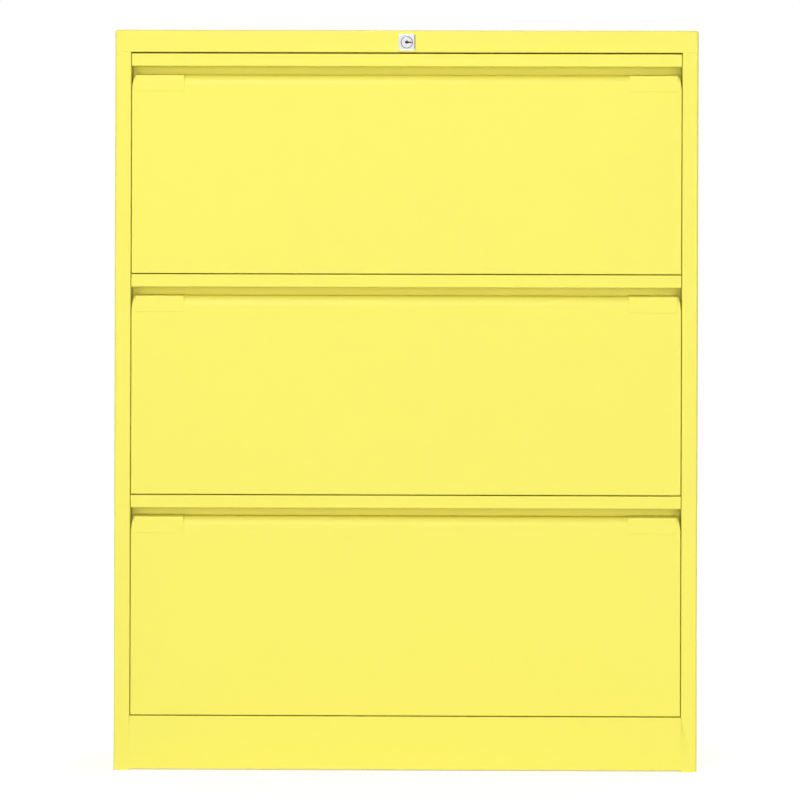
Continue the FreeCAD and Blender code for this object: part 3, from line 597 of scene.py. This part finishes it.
lid = new_box("lid", lid_low, lid_high)
edit(lid)
pick(lid, "EDGE", anywhere, along="Z")
pick(lid, "EDGE", lambda point: near(point.z, lid_high.z), more=True)
bpy.ops.mesh.bevel(offset=EDGE_ROUND, segments=LID_EDGE_STEPS, affect="EDGES")
pick(lid, "FACE", lambda point: near(point.z, lid_low.z))
bpy.ops.mesh.delete(type="ONLY_FACE")
for flange in LID_FLANGES:
    lid_flange(*flange)
recalculate_normals()
bpy.ops.mesh.select_all(action="DESELECT")
for axis, place, *_ in LID_FLANGES:
    lid_fold(axis, place, more=True)
bpy.ops.mesh.bevel(offset=LID_SEAM_ROUND, segments=LID_SEAM_STEPS, affect="EDGES")
finish_sheet(lid, SHEET)
print("lid wall", len(lid.data.polygons), "faces before its hole")

# %% [markdown]
# The lock passes through the lid's front. Its hole is cut last, by a round bar on the lock's axis,
# because a Boolean gives the hole its wall in the same step.

# %% Cut the lock's hole and dress the lid
plug_low, plug_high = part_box("lock_plug")
LID_HOLE_RADIUS = 9.7 * MM
lock_z = (plug_low.z + plug_high.z) / 2


def along_lock(y):
    """A point on the lock's axis."""
    return (0, y, lock_z)


hole = new_round_bar(
    "hole", LID_HOLE_RADIUS, along_lock(lid_low.y - LID_HOLE_RADIUS),
    along_lock(lid_low.y + LID_HOLE_RADIUS))
combine(lid, hole, "DIFFERENCE")
smooth(lid)
dress(lid, powder_coat, "carcass", "yellow_paint", "top_panel")

# %% [markdown]
# ## Drawer fronts
#
# A drawer front is a shallow pan. Its top edge rolls back into the finger recess in a wide bend,
# and its ends draw in slightly along that roll. The bend is a little fuller than a quarter circle:
# the face stays upright for longer, and turns over quickly at the crest. A cube is bevelled along
# one edge for the roll and sliced at a few of its rows, the back is opened, and the rows are scaled
# in one by one. Bevel and Solidify then turn it into a pressed sheet. A swept profile would give
# the roll too, but not the ends that draw in.

# %% Model one drawer front
front_low, front_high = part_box("bottom_front_panel")
ROLL = 25 * MM
ROLL_STEPS = 18
ROLL_PROFILE = 0.62
ROLL_END_RADIUS = 80 * MM
ROW_DIGITS = 6
SLICED_ROWS = (0, 4, 8, 12)
PAN_EDGE_ROUND = 1.3 * MM
PAN_EDGE_STEPS = 3
SHARP_FROM = math.radians(50)
FINE_STEPS = 2
roll_foot = front_high.z - ROLL


def roll_end_x(z):
    """Half-width of the front at a height on its roll."""
    return front_high.x - ROLL_END_RADIUS + math.sqrt(ROLL_END_RADIUS ** 2 - (z - roll_foot) ** 2)


def break_edges(piece, width, steps=FINE_STEPS):
    """Bevels all the edges of a piece that are sharp."""
    apply_modifier(
        piece, "BEVEL", width=width, segments=steps, limit_method="ANGLE", angle_limit=SHARP_FROM)


front = new_box("bottom_front", front_low, front_high)
edit(front)
pick(front, "EDGE", lambda point: near(point.y, front_low.y) and near(point.z, front_high.z))
bpy.ops.mesh.bevel(offset=ROLL, segments=ROLL_STEPS, profile=ROLL_PROFILE, affect="EDGES")
heights = [vertex.co.z for vertex in bmesh.from_edit_mesh(front.data).verts]
roll_rows = sorted({round(z, ROW_DIGITS) for z in heights if z > roll_foot - ROLL / 2})
for row in SLICED_ROWS:
    bpy.ops.mesh.select_all(action="SELECT")
    bpy.ops.mesh.bisect(plane_co=(0, 0, roll_rows[row]), plane_no=(0, 0, 1))
pick(front, "FACE", lambda point: near(point.y, front_high.y))
bpy.ops.mesh.delete(type="FACE")
for height in roll_rows[1:]:
    pick(front, "VERT", lambda point: near(point.z, height))
    bpy.ops.transform.resize(
        value=(roll_end_x(height) / front_high.x, 1, 1), center_override=(0, 0, 0))
break_edges(front, PAN_EDGE_ROUND, PAN_EDGE_STEPS)
finish_sheet(front, SHEET)
print("roll rows", len(roll_rows))

# %% [markdown]
# The three drawers are alike, so each of their pieces is modelled once, on the lowest drawer. Its
# copies get meshes of their own and are raised to the other drawers. Linked copies would share one
# mesh, and their place would stay on the object instead of in the mesh.

# %% Copy it to each drawer
drawer_rise = {
    drawer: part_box(f"{drawer}_front_panel")[0].z - front_low.z for drawer in DRAWERS}


def copy_of(piece, name, shift):
    activate(piece)
    bpy.ops.object.duplicate(linked=False)
    bpy.ops.transform.translate(value=shift)
    return settle(name)


def for_each_drawer(piece, name, finish, slot, node):
    """Copies a piece of the lowest drawer to the others, and dresses them all."""
    for drawer in DRAWERS:
        if drawer == DRAWERS[0]:
            copy = piece
        else:
            copy = copy_of(piece, f"{drawer}_{name}", (0, 0, drawer_rise[drawer]))
        replaced = [f"{drawer}_{node}"] if node else []
        dress(copy, finish, f"{drawer}_drawer", slot, *replaced)


for_each_drawer(front, "front", powder_coat, "yellow_paint", "front_panel")

# %% [markdown]
# ## Grip rails
#
# Above each roll a rail closes the drawer front: a flush strip, the cover of the recess, its rear
# wall, and a ledge inside the drawer for the file bars. It is one long folded sheet, so it is
# folded as the sides were. The rear wall is divided near its ends first, because the ledge has to
# stop short of the tray's rims.

# %% Fold one grip rail and copy it
grip_low, grip_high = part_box("bottom_grip_rail")
tray_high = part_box("bottom_tray")[1]
STRIP_HEIGHT = 17.5 * MM
STRIP_RETURN = 6 * MM
LEDGE_INSET = 13 * MM
LEDGE_MARGIN = 1 * MM
wall_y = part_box("bottom_inner_panel")[1].y + SHEET
ledge_x = tray_high.x - LEDGE_INSET
strip_foot = grip_high.z - STRIP_HEIGHT

strip_path = [
    (grip_low.y + STRIP_RETURN, strip_foot),
    (grip_low.y, strip_foot),
    (grip_low.y, grip_high.z),
    (wall_y, grip_high.z),
    (wall_y, tray_high.z),
]
ledge_path = [(wall_y, tray_high.z), (grip_high.y, tray_high.z), (grip_high.y, grip_low.z)]


def on_ledge(point):
    return near(point.z, tray_high.z) and abs(point.x) < ledge_x + LEDGE_MARGIN


grip = bare_edge("bottom_grip", "X", (grip_low.x, grip_high.x), strip_path[0])
extrude_along("X", strip_path)
for x in (-ledge_x, ledge_x):
    pick(grip, "FACE", lambda point: near(point.y, wall_y))
    bpy.ops.mesh.bisect(plane_co=(x, 0, 0), plane_no=(1, 0, 0))
pick(grip, "EDGE", on_ledge)
extrude_along("X", ledge_path)
face_outwards(grip, (0, 0, -1))
for corner in (1, 2, 3):
    round_fold(grip, "X", strip_path, corner, FOLD_RADIUS)
round_fold(grip, "X", ledge_path, 1, FOLD_RADIUS)
finish_sheet(grip, SHEET)
for_each_drawer(grip, "grip", powder_coat, "yellow_paint", "grip_rail")

# %% [markdown]
# ## Label holders
#
# At each end of a roll sits a small plate that holds a label card. It leans back a little, folds
# over at the top and lies on the crest of the roll. It could be raised from the faces of the roll,
# but a folded strip of its own gives it a thickness and an edge that catch the light. Its lower
# corners are rounded, and all its edges are broken.

# %% Fold one label holder and copy it
label_low, label_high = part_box("bottom_label_holders")
LABEL_WIDTH = 66.5 * MM
LABEL_HEIGHT = 21.8 * MM
LABEL_LEAN = 2.5 * MM
LABEL_TAIL = 3 * MM
LABEL_GAUGE = 1 * MM
LABEL_FOLD = 2 * MM
LABEL_CORNER = 1.5 * MM
LABEL_CORNER_STEPS = 4
LABEL_EDGE = 0.25 * MM


def join(piece, others):
    activate(piece)
    for other in others:
        other.select_set(True)
    bpy.ops.object.join()


label_path = [
    (label_low.y, label_low.z),
    (label_low.y + LABEL_LEAN, label_low.z + LABEL_HEIGHT),
    (label_high.y - LABEL_TAIL, label_high.z),
    (label_high.y, label_high.z),
]
label = bare_edge("label", "X", (label_high.x - LABEL_WIDTH, label_high.x), label_path[0])
extrude_along("X", label_path)
face_outwards(label, (0, -1, 0))
round_fold(label, "X", label_path, 1, LABEL_FOLD)
pick(label, "VERT", lambda point: near(point.z, label_low.z))
bpy.ops.mesh.bevel(offset=LABEL_CORNER, segments=LABEL_CORNER_STEPS, affect="VERTICES")
finish_sheet(label, LABEL_GAUGE)
break_edges(label, LABEL_EDGE)
smooth(label)
join(label, [mirror_of(label, "twin_label")])
label.name = "bottom_labels"
for_each_drawer(label, "labels", label_skin, "label_plastic", "label_holders")

# %% [markdown]
# ## Lock
#
# The lock sits in the middle of the lid's front. Its chromed housing has a square bezel with soft
# edges and a round barrel behind it. Spin could turn the round forms, but the square and slotted
# ones need Booleans in any case, so bars and boxes are joined and cut. A cutter always reaches a
# little past the wall that it cuts, because faces that lie in one plane confuse a Boolean.

# %% Model the lock's housing
bezel_low, bezel_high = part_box("lock_housing")
BEZEL_CORNER = 3 * MM
BEZEL_CORNER_STEPS = 6
BEZEL_ROUND = 2 * MM
BEZEL_ROUND_STEPS = 5
BARREL_RADIUS = 9.5 * MM
RECESS_RADIUS = 8.7 * MM
BORE_RADIUS = 6.05 * MM
PLUG_FACE_THICK = 2.6 * MM
CLIP_FLAT = 7.5 * MM
OVERRUN = 1 * MM
seat_y = plug_low.y + PLUG_FACE_THICK
clip_low, clip_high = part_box("lock_clip")

housing = new_box("lock_bezel", bezel_low, (bezel_high.x, lid_low.y, bezel_high.z))
edit(housing)
pick(housing, "EDGE", anywhere, along="Y")
bpy.ops.mesh.bevel(offset=BEZEL_CORNER, segments=BEZEL_CORNER_STEPS, affect="EDGES")
pick(housing, "EDGE", lambda point: near(point.y, bezel_low.y))
bpy.ops.mesh.bevel(offset=BEZEL_ROUND, segments=BEZEL_ROUND_STEPS, affect="EDGES")
bars = (
    ("barrel", BARREL_RADIUS, lid_low.y - OVERRUN, bezel_high.y, "UNION"),
    ("bore", BORE_RADIUS, bezel_low.y - OVERRUN, bezel_high.y + OVERRUN, "DIFFERENCE"),
    ("recess", RECESS_RADIUS, bezel_low.y - OVERRUN, seat_y, "DIFFERENCE"),
)
for name, radius, start_y, end_y, operation in bars:
    bar = new_round_bar(name, radius, along_lock(start_y), along_lock(end_y))
    combine(housing, bar, operation)
for side in (-1, 1):
    left_x, right_x = sorted((side * CLIP_FLAT, side * (BARREL_RADIUS + OVERRUN)))
    groove = new_box(
        "groove", (left_x, clip_low.y, bezel_low.z), (right_x, clip_high.y, bezel_high.z))
    combine(housing, groove, "DIFFERENCE")
smooth(housing)
dress(housing, lock_chrome, "carcass", "lock_chrome", "lock_housing")

# %% [markdown]
# The plug turns inside the housing: a round face with a fine ring, a keyway, a shaft and a square
# tail for the cam. Inset and extrude press the ring into the face, as a tool would, and Booleans
# add the shaft and the tail and cut the keyway. A step round the face holds a dark ring of painted
# shade.

# %% Model the lock's plug
PLUG_RADIUS = 6 * MM
PLUG_RIM_ROUND = 0.3 * MM
PLUG_RIM_STEPS = 3
# The step round the plug's face holds the dark ring of painted shade.
FACE_STEP_WIDTH = 0.75 * MM
FACE_STEP_DEPTH = 0.9 * MM
RING_RADIUS = 5.4 * MM
RING_WIDTH = 0.4 * MM
RING_DEPTH = 0.25 * MM
TAIL_HALF = 3.5 * MM
TAIL_LENGTH = 2 * MM
KEYWAY_DEPTH = 2.4 * MM
# Each part of the keyway has its left, right, lower and upper limit from the lock's axis.
KEYWAY_PARTS = (
    (-2.4 * MM, 6.6 * MM, -MM, MM),
    (-2.4 * MM, 1.8 * MM, -1.7 * MM, 1.7 * MM),
    (-0.6 * MM, 1.2 * MM, 0, 2.6 * MM),
)
step_y = plug_low.y + FACE_STEP_DEPTH
tail_y = plug_high.y - TAIL_LENGTH
face_radius = plug_high.x - FACE_STEP_WIDTH


def push(depth):
    """Extrudes the picked faces along the lock's axis."""
    bpy.ops.mesh.extrude_region_move(TRANSFORM_OT_translate={"value": (0, depth, 0)})


plug = new_round_bar("lock_key_plug", plug_high.x, along_lock(step_y), along_lock(seat_y))
edit(plug)
pick(plug, "FACE", lambda point: near(point.y, step_y))
bpy.ops.mesh.inset(thickness=FACE_STEP_WIDTH)
push(-FACE_STEP_DEPTH)
pick(plug, "EDGE", lambda point: near(point.y, plug_low.y))
bpy.ops.mesh.bevel(offset=PLUG_RIM_ROUND, segments=PLUG_RIM_STEPS, affect="EDGES")
pick(plug, "FACE", lambda point: near(point.y, plug_low.y))
bpy.ops.mesh.inset(thickness=face_radius - PLUG_RIM_ROUND - RING_RADIUS)
push(RING_DEPTH)
bpy.ops.mesh.inset(thickness=RING_WIDTH)
push(-RING_DEPTH)
shaft = new_round_bar("shaft", PLUG_RADIUS, along_lock(seat_y - OVERRUN), along_lock(tail_y))
combine(plug, shaft, "UNION")
tail = new_box(
    "tail", (-TAIL_HALF, tail_y - OVERRUN, lock_z - TAIL_HALF),
    (TAIL_HALF, plug_high.y, lock_z + TAIL_HALF))
combine(plug, tail, "UNION")
for left, right, below, above in KEYWAY_PARTS:
    cutter = new_box(
        "keyway", (left, plug_low.y - OVERRUN, lock_z + below),
        (right, plug_low.y + KEYWAY_DEPTH, lock_z + above))
    combine(plug, cutter, "DIFFERENCE")
smooth(plug)
dress(plug, lock_chrome, "lock_plug", "lock_chrome", "lock_plug")

# %% [markdown]
# Two small dark pieces are painted shade. A dark plate in the keyway stands in for the shade deep
# in the slot, and a dark ring in the step round the plug's face stands in for the shadow in the gap
# that sets a lock off from its bezel. A darker chrome there would do from the front, but two small
# pieces with broken edges hold up from every side.

# %% Model the painted shade in the keyway and round the plug
KEYWAY_SHADE_DEPTH = 1.7 * MM
KEYWAY_SHADE_THICK = 0.6 * MM
KEYWAY_SHADE_ROUND = 0.15 * MM
SHADE_RING_THICK = 0.4 * MM
SHADE_RING_ROUND = 0.1 * MM
lefts, rights, lowers, uppers = zip(*KEYWAY_PARTS)
keyway_shade_y = plug_low.y + KEYWAY_SHADE_DEPTH

# Painted shade: a dark plate behind the keyway's mouth makes the slot read black.
keyway_shade = new_box(
    "lock_keyway_shade", (min(lefts), keyway_shade_y, lock_z + min(lowers)),
    (max(rights), keyway_shade_y + KEYWAY_SHADE_THICK, lock_z + max(uppers)))
break_edges(keyway_shade, KEYWAY_SHADE_ROUND)
smooth(keyway_shade)
dress(keyway_shade, buffer_rubber, "lock_plug", "buffer_rubber")

# Painted shade: a dark ring in the step round the plug's face draws the shadow of the gap.
shade_ring = new_round_bar(
    "lock_shade_ring", plug_high.x, along_lock(step_y - SHADE_RING_THICK), along_lock(step_y))
shade_ring_hole = new_round_bar("shade_ring_hole", face_radius, along_lock(plug_low.y), along_lock(seat_y))
combine(shade_ring, shade_ring_hole, "DIFFERENCE")
break_edges(shade_ring, SHADE_RING_ROUND)
smooth(shade_ring)
dress(shade_ring, buffer_rubber, "lock_plug", "buffer_rubber")

# %% [markdown]
# ## Levelling feet
#
# Four feet screw into weld nuts behind the plinth. A foot is a hexagonal pad that a spanner turns,
# on a threaded stud. A bump could fake the thread, but its outline would stay smooth. So the thread
# is a zigzag line turned by the Screw modifier, which climbs one pitch each turn, so that the end
# of each turn meets the start of the next.

# %% Model the pad of a foot
foot_low, foot_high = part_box("levelling_foot_front_right")
HEX_SIDES = 6
HEX_TURN = math.pi / 6
PAD_HEIGHT = 10 * MM
PAD_ROUND = 1 * MM
pad_reach = (foot_high.x - foot_low.x) / 2
pad_top = foot_low.z + PAD_HEIGHT
foot_x = (foot_low.x + foot_high.x) / 2
foot_y = (foot_low.y + foot_high.y) / 2

pad = new_round_bar(
    "foot", pad_reach, (foot_x, foot_y, foot_low.z), (foot_x, foot_y, pad_top), HEX_SIDES)
edit(pad)
bpy.ops.mesh.select_all(action="SELECT")
bpy.ops.transform.rotate(
    value=HEX_TURN, orient_axis="Z", center_override=(foot_x, foot_y, foot_low.z))
pick(pad, "EDGE", lambda point: point.z > foot_low.z + PAD_HEIGHT / 2)
pick(pad, "EDGE", anywhere, along="Z", more=True)
bpy.ops.mesh.bevel(offset=PAD_ROUND, segments=FINE_STEPS, affect="EDGES")
deselect_all()
print("pad", len(pad.data.polygons), "faces")

# %% Turn the thread and copy the foot
STUD_RADIUS = 4 * MM
THREAD_PITCH = 1.25 * MM
THREAD_DEPTH = 0.65 * MM
THREAD_STEPS = 24
THREAD_MERGE = 0.005 * MM
THREAD_SMOOTH_BELOW = 25
half_pitch = THREAD_PITCH / 2
teeth = int((foot_high.z - foot_low.z - PAD_HEIGHT) / THREAD_PITCH) - 1
to_left = -2 * foot_x
to_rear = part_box("levelling_foot_rear_right")[0].y - foot_low.y
FEET = {
    "front_right": (0, 0, 0),
    "front_left": (to_left, 0, 0),
    "rear_right": (0, to_rear, 0),
    "rear_left": (to_left, to_rear, 0),
}

stud = bare_edge("stud", "Z", (0, half_pitch), (STUD_RADIUS - THREAD_DEPTH, 0))
pick(stud, "VERT", lambda point: point.z > half_pitch / 2)
bpy.ops.transform.translate(value=(THREAD_DEPTH, 0, 0))
for step in range(2 * teeth - 1):
    outwards = THREAD_DEPTH if step % 2 else -THREAD_DEPTH
    bpy.ops.mesh.extrude_vertices_move(
        TRANSFORM_OT_translate={"value": (outwards, 0, half_pitch)})
apply_modifier(
    stud, "SCREW", angle=2 * math.pi, screw_offset=THREAD_PITCH, iterations=1,
    steps=THREAD_STEPS, render_steps=THREAD_STEPS, use_smooth_shade=False)
edit(stud)
bpy.ops.mesh.select_all(action="SELECT")
bpy.ops.mesh.remove_doubles(threshold=THREAD_MERGE)
bpy.ops.mesh.fill_holes(sides=0)
recalculate_normals()
bpy.ops.transform.translate(value=(foot_x, foot_y, pad_top))
join(pad, [stud])
smooth(pad, THREAD_SMOOTH_BELOW)
for place, shift in FEET.items():
    foot = copy_of(pad, f"foot_{place}", shift)
    dress(foot, dark_plastic, f"levelling_foot_{place}", "dark_plastic", f"levelling_foot_{place}")
bpy.data.objects.remove(pad)

# %% [markdown]
# ## Slide screws
#
# The inner rails are screwed to the trays. The heads show in the channel of the rail when a drawer
# is out. A head is a short bar with a domed end and a cross recess. A flat disc would do at a
# distance, but the dome and the recess are what makes it read as a screw. It is modelled once, and
# its copies are joined for each drawer.

# %% Model one screw head
inner_low, inner_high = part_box("bottom_inner_rails")
RAIL_GAUGE = 1.2 * MM
HEAD_SIDES = 32
HEAD_RADIUS = 3.6 * MM
HEAD_HEIGHT = 1.9 * MM
HEAD_DOME = 1.1 * MM
HEAD_DOME_STEPS = 4
CROSS_HALF_LENGTH = 2 * MM
CROSS_HALF_WIDTH = 0.45 * MM
CROSS_DEPTH = 1.2 * MM
SCREW_MARGIN = 35 * MM
head_x = tray_high.x + RAIL_GAUGE
head_top = head_x + HEAD_HEIGHT
head_z = (inner_low.z + inner_high.z) / 2
first_y = inner_low.y + SCREW_MARGIN

screw = new_round_bar(
    "screw", HEAD_RADIUS, (head_x, first_y, head_z), (head_top, first_y, head_z), HEAD_SIDES)
edit(screw)
pick(screw, "EDGE", lambda point: near(point.x, head_top))
bpy.ops.mesh.bevel(offset=HEAD_DOME, segments=HEAD_DOME_STEPS, affect="EDGES")
cross_arms = (
    (CROSS_HALF_LENGTH, CROSS_HALF_WIDTH),
    (CROSS_HALF_WIDTH, CROSS_HALF_LENGTH),
)
for reach_y, reach_z in cross_arms:
    arm = new_box(
        "arm", (head_top - CROSS_DEPTH, first_y - reach_y, head_z - reach_z),
        (head_top + OVERRUN, first_y + reach_y, head_z + reach_z))
    combine(screw, arm, "DIFFERENCE")
smooth(screw)
print("screw head", len(screw.data.polygons), "faces")

# %% Copy the screw along the rails
SCREWS_PER_RAIL = 4
screw_step = (inner_high.y - inner_low.y - 2 * SCREW_MARGIN) / (SCREWS_PER_RAIL - 1)

screws = [screw]
for count in range(1, SCREWS_PER_RAIL):
    screws.append(copy_of(screw, "screw_copy", (0, count * screw_step, 0)))
screws += [mirror_of(one, "screw_twin") for one in screws]
join(screw, screws)
screw.name = "bottom_slide_screws"
for_each_drawer(screw, "slide_screws", zinc_plate, "zinc_plate", None)

# %% [markdown]
# ## Floor, light and camera
#
# The cabinet stands on a plain white floor in even studio light. The background is white by its own
# colour, and not by more light on the cabinet: the camera sees the world at full white, and the
# floor has a slight glow of its own that grows with the distance. So the floor runs out into white
# and still keeps the cabinet's shadow.

# %% Floor
FLOOR_SIZE = 30
FLOOR_GREY = (0.8, 0.8, 0.8, 1)
FLOOR_ROUGH = 0.9
WHITE = (1, 1, 1, 1)
NEAR_GLOW = 0.6
FAR_GLOW = 0.86
NEAR_REACH = 1.2
FAR_REACH = 5


def calculated(tree, operation, first, second):
    """Two signals joined by a Math node."""
    step = tree.nodes.new("ShaderNodeMath")
    step.operation = operation
    tree.links.new(first, step.inputs[0])
    tree.links.new(second, step.inputs[1])
    return step.outputs["Value"]


deselect_all()
bpy.ops.mesh.primitive_plane_add(size=FLOOR_SIZE, location=(0, 0, 0))
floor = bpy.context.object
floor.name = "floor"
white_floor = bpy.data.materials.new("white_floor")
white_floor.use_nodes = True
tree = white_floor.node_tree
shader = tree.nodes["Principled BSDF"]
shader.inputs["Base Color"].default_value = FLOOR_GREY
shader.inputs["Roughness"].default_value = FLOOR_ROUGH
shader.inputs["Emission Color"].default_value = WHITE
reach = tree.nodes.new("ShaderNodeVectorMath")
reach.operation = "LENGTH"
tree.links.new(tree.nodes.new("ShaderNodeTexCoord").outputs["Object"], reach.inputs[0])
glow = scaled(tree, reach.outputs["Value"], (NEAR_REACH, FAR_REACH), (NEAR_GLOW, FAR_GLOW))
rays = tree.nodes.new("ShaderNodeLightPath").outputs
seen = calculated(tree, "MAXIMUM", rays["Is Camera Ray"], rays["Is Glossy Ray"])
seen = calculated(tree, "MAXIMUM", seen, rays["Is Transmission Ray"])
tree.links.new(calculated(tree, "MULTIPLY", seen, glow), shader.inputs["Emission Strength"])
floor.data.materials.append(white_floor)
print("floor", FLOOR_SIZE, "m wide, glow", NEAR_GLOW, "to", FAR_GLOW)

# %% [markdown]
# Chrome has no colour of its own, and shows what stands round it. In a room that is white all over,
# its edges would vanish, so photographers set up dark flags. Here the world is dark at the far
# right for glossy rays alone, which draws the lock's right edge and hardly changes the paint.

# %% World
DOME_STRENGTH = 0.25
ROOM_STRENGTH = 0.95
FLAG_STRENGTH = 0.12
FLAG_RANGE = (0.4, 0.8)
FULL_WHITE = 1

world = bpy.data.worlds.new("studio")
bpy.context.scene.world = world
world.use_nodes = True
tree = world.node_tree
background = tree.nodes["Background"]
background.inputs["Color"].default_value = WHITE
rays = tree.nodes.new("ShaderNodeLightPath").outputs
direction = tree.nodes.new("ShaderNodeSeparateXYZ")
all_round = tree.nodes.new("ShaderNodeTexCoord").outputs["Generated"]
tree.links.new(all_round, direction.inputs["Vector"])
mirrored_room = scaled(
    tree, direction.outputs["X"], FLAG_RANGE, (ROOM_STRENGTH, FLAG_STRENGTH))
dome = tree.nodes.new("ShaderNodeMix")
dome.inputs["A"].default_value = DOME_STRENGTH
tree.links.new(rays["Is Glossy Ray"], dome.inputs["Factor"])
tree.links.new(mirrored_room, dome.inputs["B"])
level = tree.nodes.new("ShaderNodeMix")
level.inputs["B"].default_value = FULL_WHITE
seen = calculated(tree, "MAXIMUM", rays["Is Camera Ray"], rays["Is Transmission Ray"])
tree.links.new(seen, level.inputs["Factor"])
tree.links.new(dome.outputs["Result"], level.inputs["A"])
tree.links.new(level.outputs["Result"], background.inputs["Strength"])
print("world", DOME_STRENGTH, "for paint,", ROOM_STRENGTH, "to", FLAG_STRENGTH, "for chrome")

# %% [markdown]
# The dome alone would leave the recesses black. A key lamp above the camera gives the strips their
# shadow on the rolls, two lamps beside the camera reach into the finger recesses, and a small one
# at the lens into the gaps between the fronts. The three at the camera's height aren't mirrored, so
# they leave no bright spot on the paint. A lamp behind shows the back when the cabinet is seen from
# there.

# %% Lamps
KEY_POWER = 116
FRONT_POWER = 103
LENS_POWER = 74
BACK_POWER = 120
LAMP_TARGET = (0, 0, 0.5)


def soft_lamp(name, place, size, power, mirrored):
    deselect_all()
    bpy.ops.object.light_add(type="AREA", location=place)
    lamp = bpy.context.object
    lamp.name = name
    lamp.data.size = size
    lamp.data.energy = power
    lamp.visible_glossy = mirrored
    aim = Vector(LAMP_TARGET) - Vector(place)
    lamp.rotation_euler = aim.to_track_quat("-Z", "Y").to_euler()
    print("lamp", name, power, "W")


soft_lamp("key", (-1.2, -4.6, 5.2), size=2, power=KEY_POWER, mirrored=True)
soft_lamp("front_left", (-3.2, -7, 0.6), size=2, power=FRONT_POWER, mirrored=False)
soft_lamp("front_right", (3.2, -7, 0.6), size=2, power=FRONT_POWER, mirrored=False)
soft_lamp("lens_side", (0.07, -6.6, 0.52), size=0.12, power=LENS_POWER, mirrored=False)
soft_lamp("back", (1.5, 5, 3), size=3, power=BACK_POWER, mirrored=True)

# %% [markdown]
# The photograph was taken with a long lens, almost square to the front: the right edge is a little
# nearer, and the picture is turned by a fraction of a degree. The camera is placed by those facts.

# %% Camera
PICTURE_SIZE = 800
MM_PER_PIXEL = 1.371
CENTRE_PIXEL = (405.8, 400.6)
DISTANCE = 6
YAW = math.radians(0.7)
TILT = math.radians(0.17)
frame_width = PICTURE_SIZE * MM_PER_PIXEL * MM
middle_z = cad_high.z / 2
aim = Vector((
    (PICTURE_SIZE / 2 - CENTRE_PIXEL[0]) * MM_PER_PIXEL * MM,
    side_low.y,
    middle_z + (CENTRE_PIXEL[1] - PICTURE_SIZE / 2) * MM_PER_PIXEL * MM,
))
view_from = aim + DISTANCE * Vector((math.sin(YAW), -math.cos(YAW), 0))
deselect_all()
bpy.ops.object.camera_add(location=view_from)
camera = bpy.context.object
camera.name = "camera"
camera.rotation_euler = (math.pi / 2, -TILT, YAW)
camera.data.lens = camera.data.sensor_width * DISTANCE / frame_width
bpy.context.scene.camera = camera
bpy.context.scene.view_settings.view_transform = "Standard"
print("lens", round(camera.data.lens, 1), "mm")
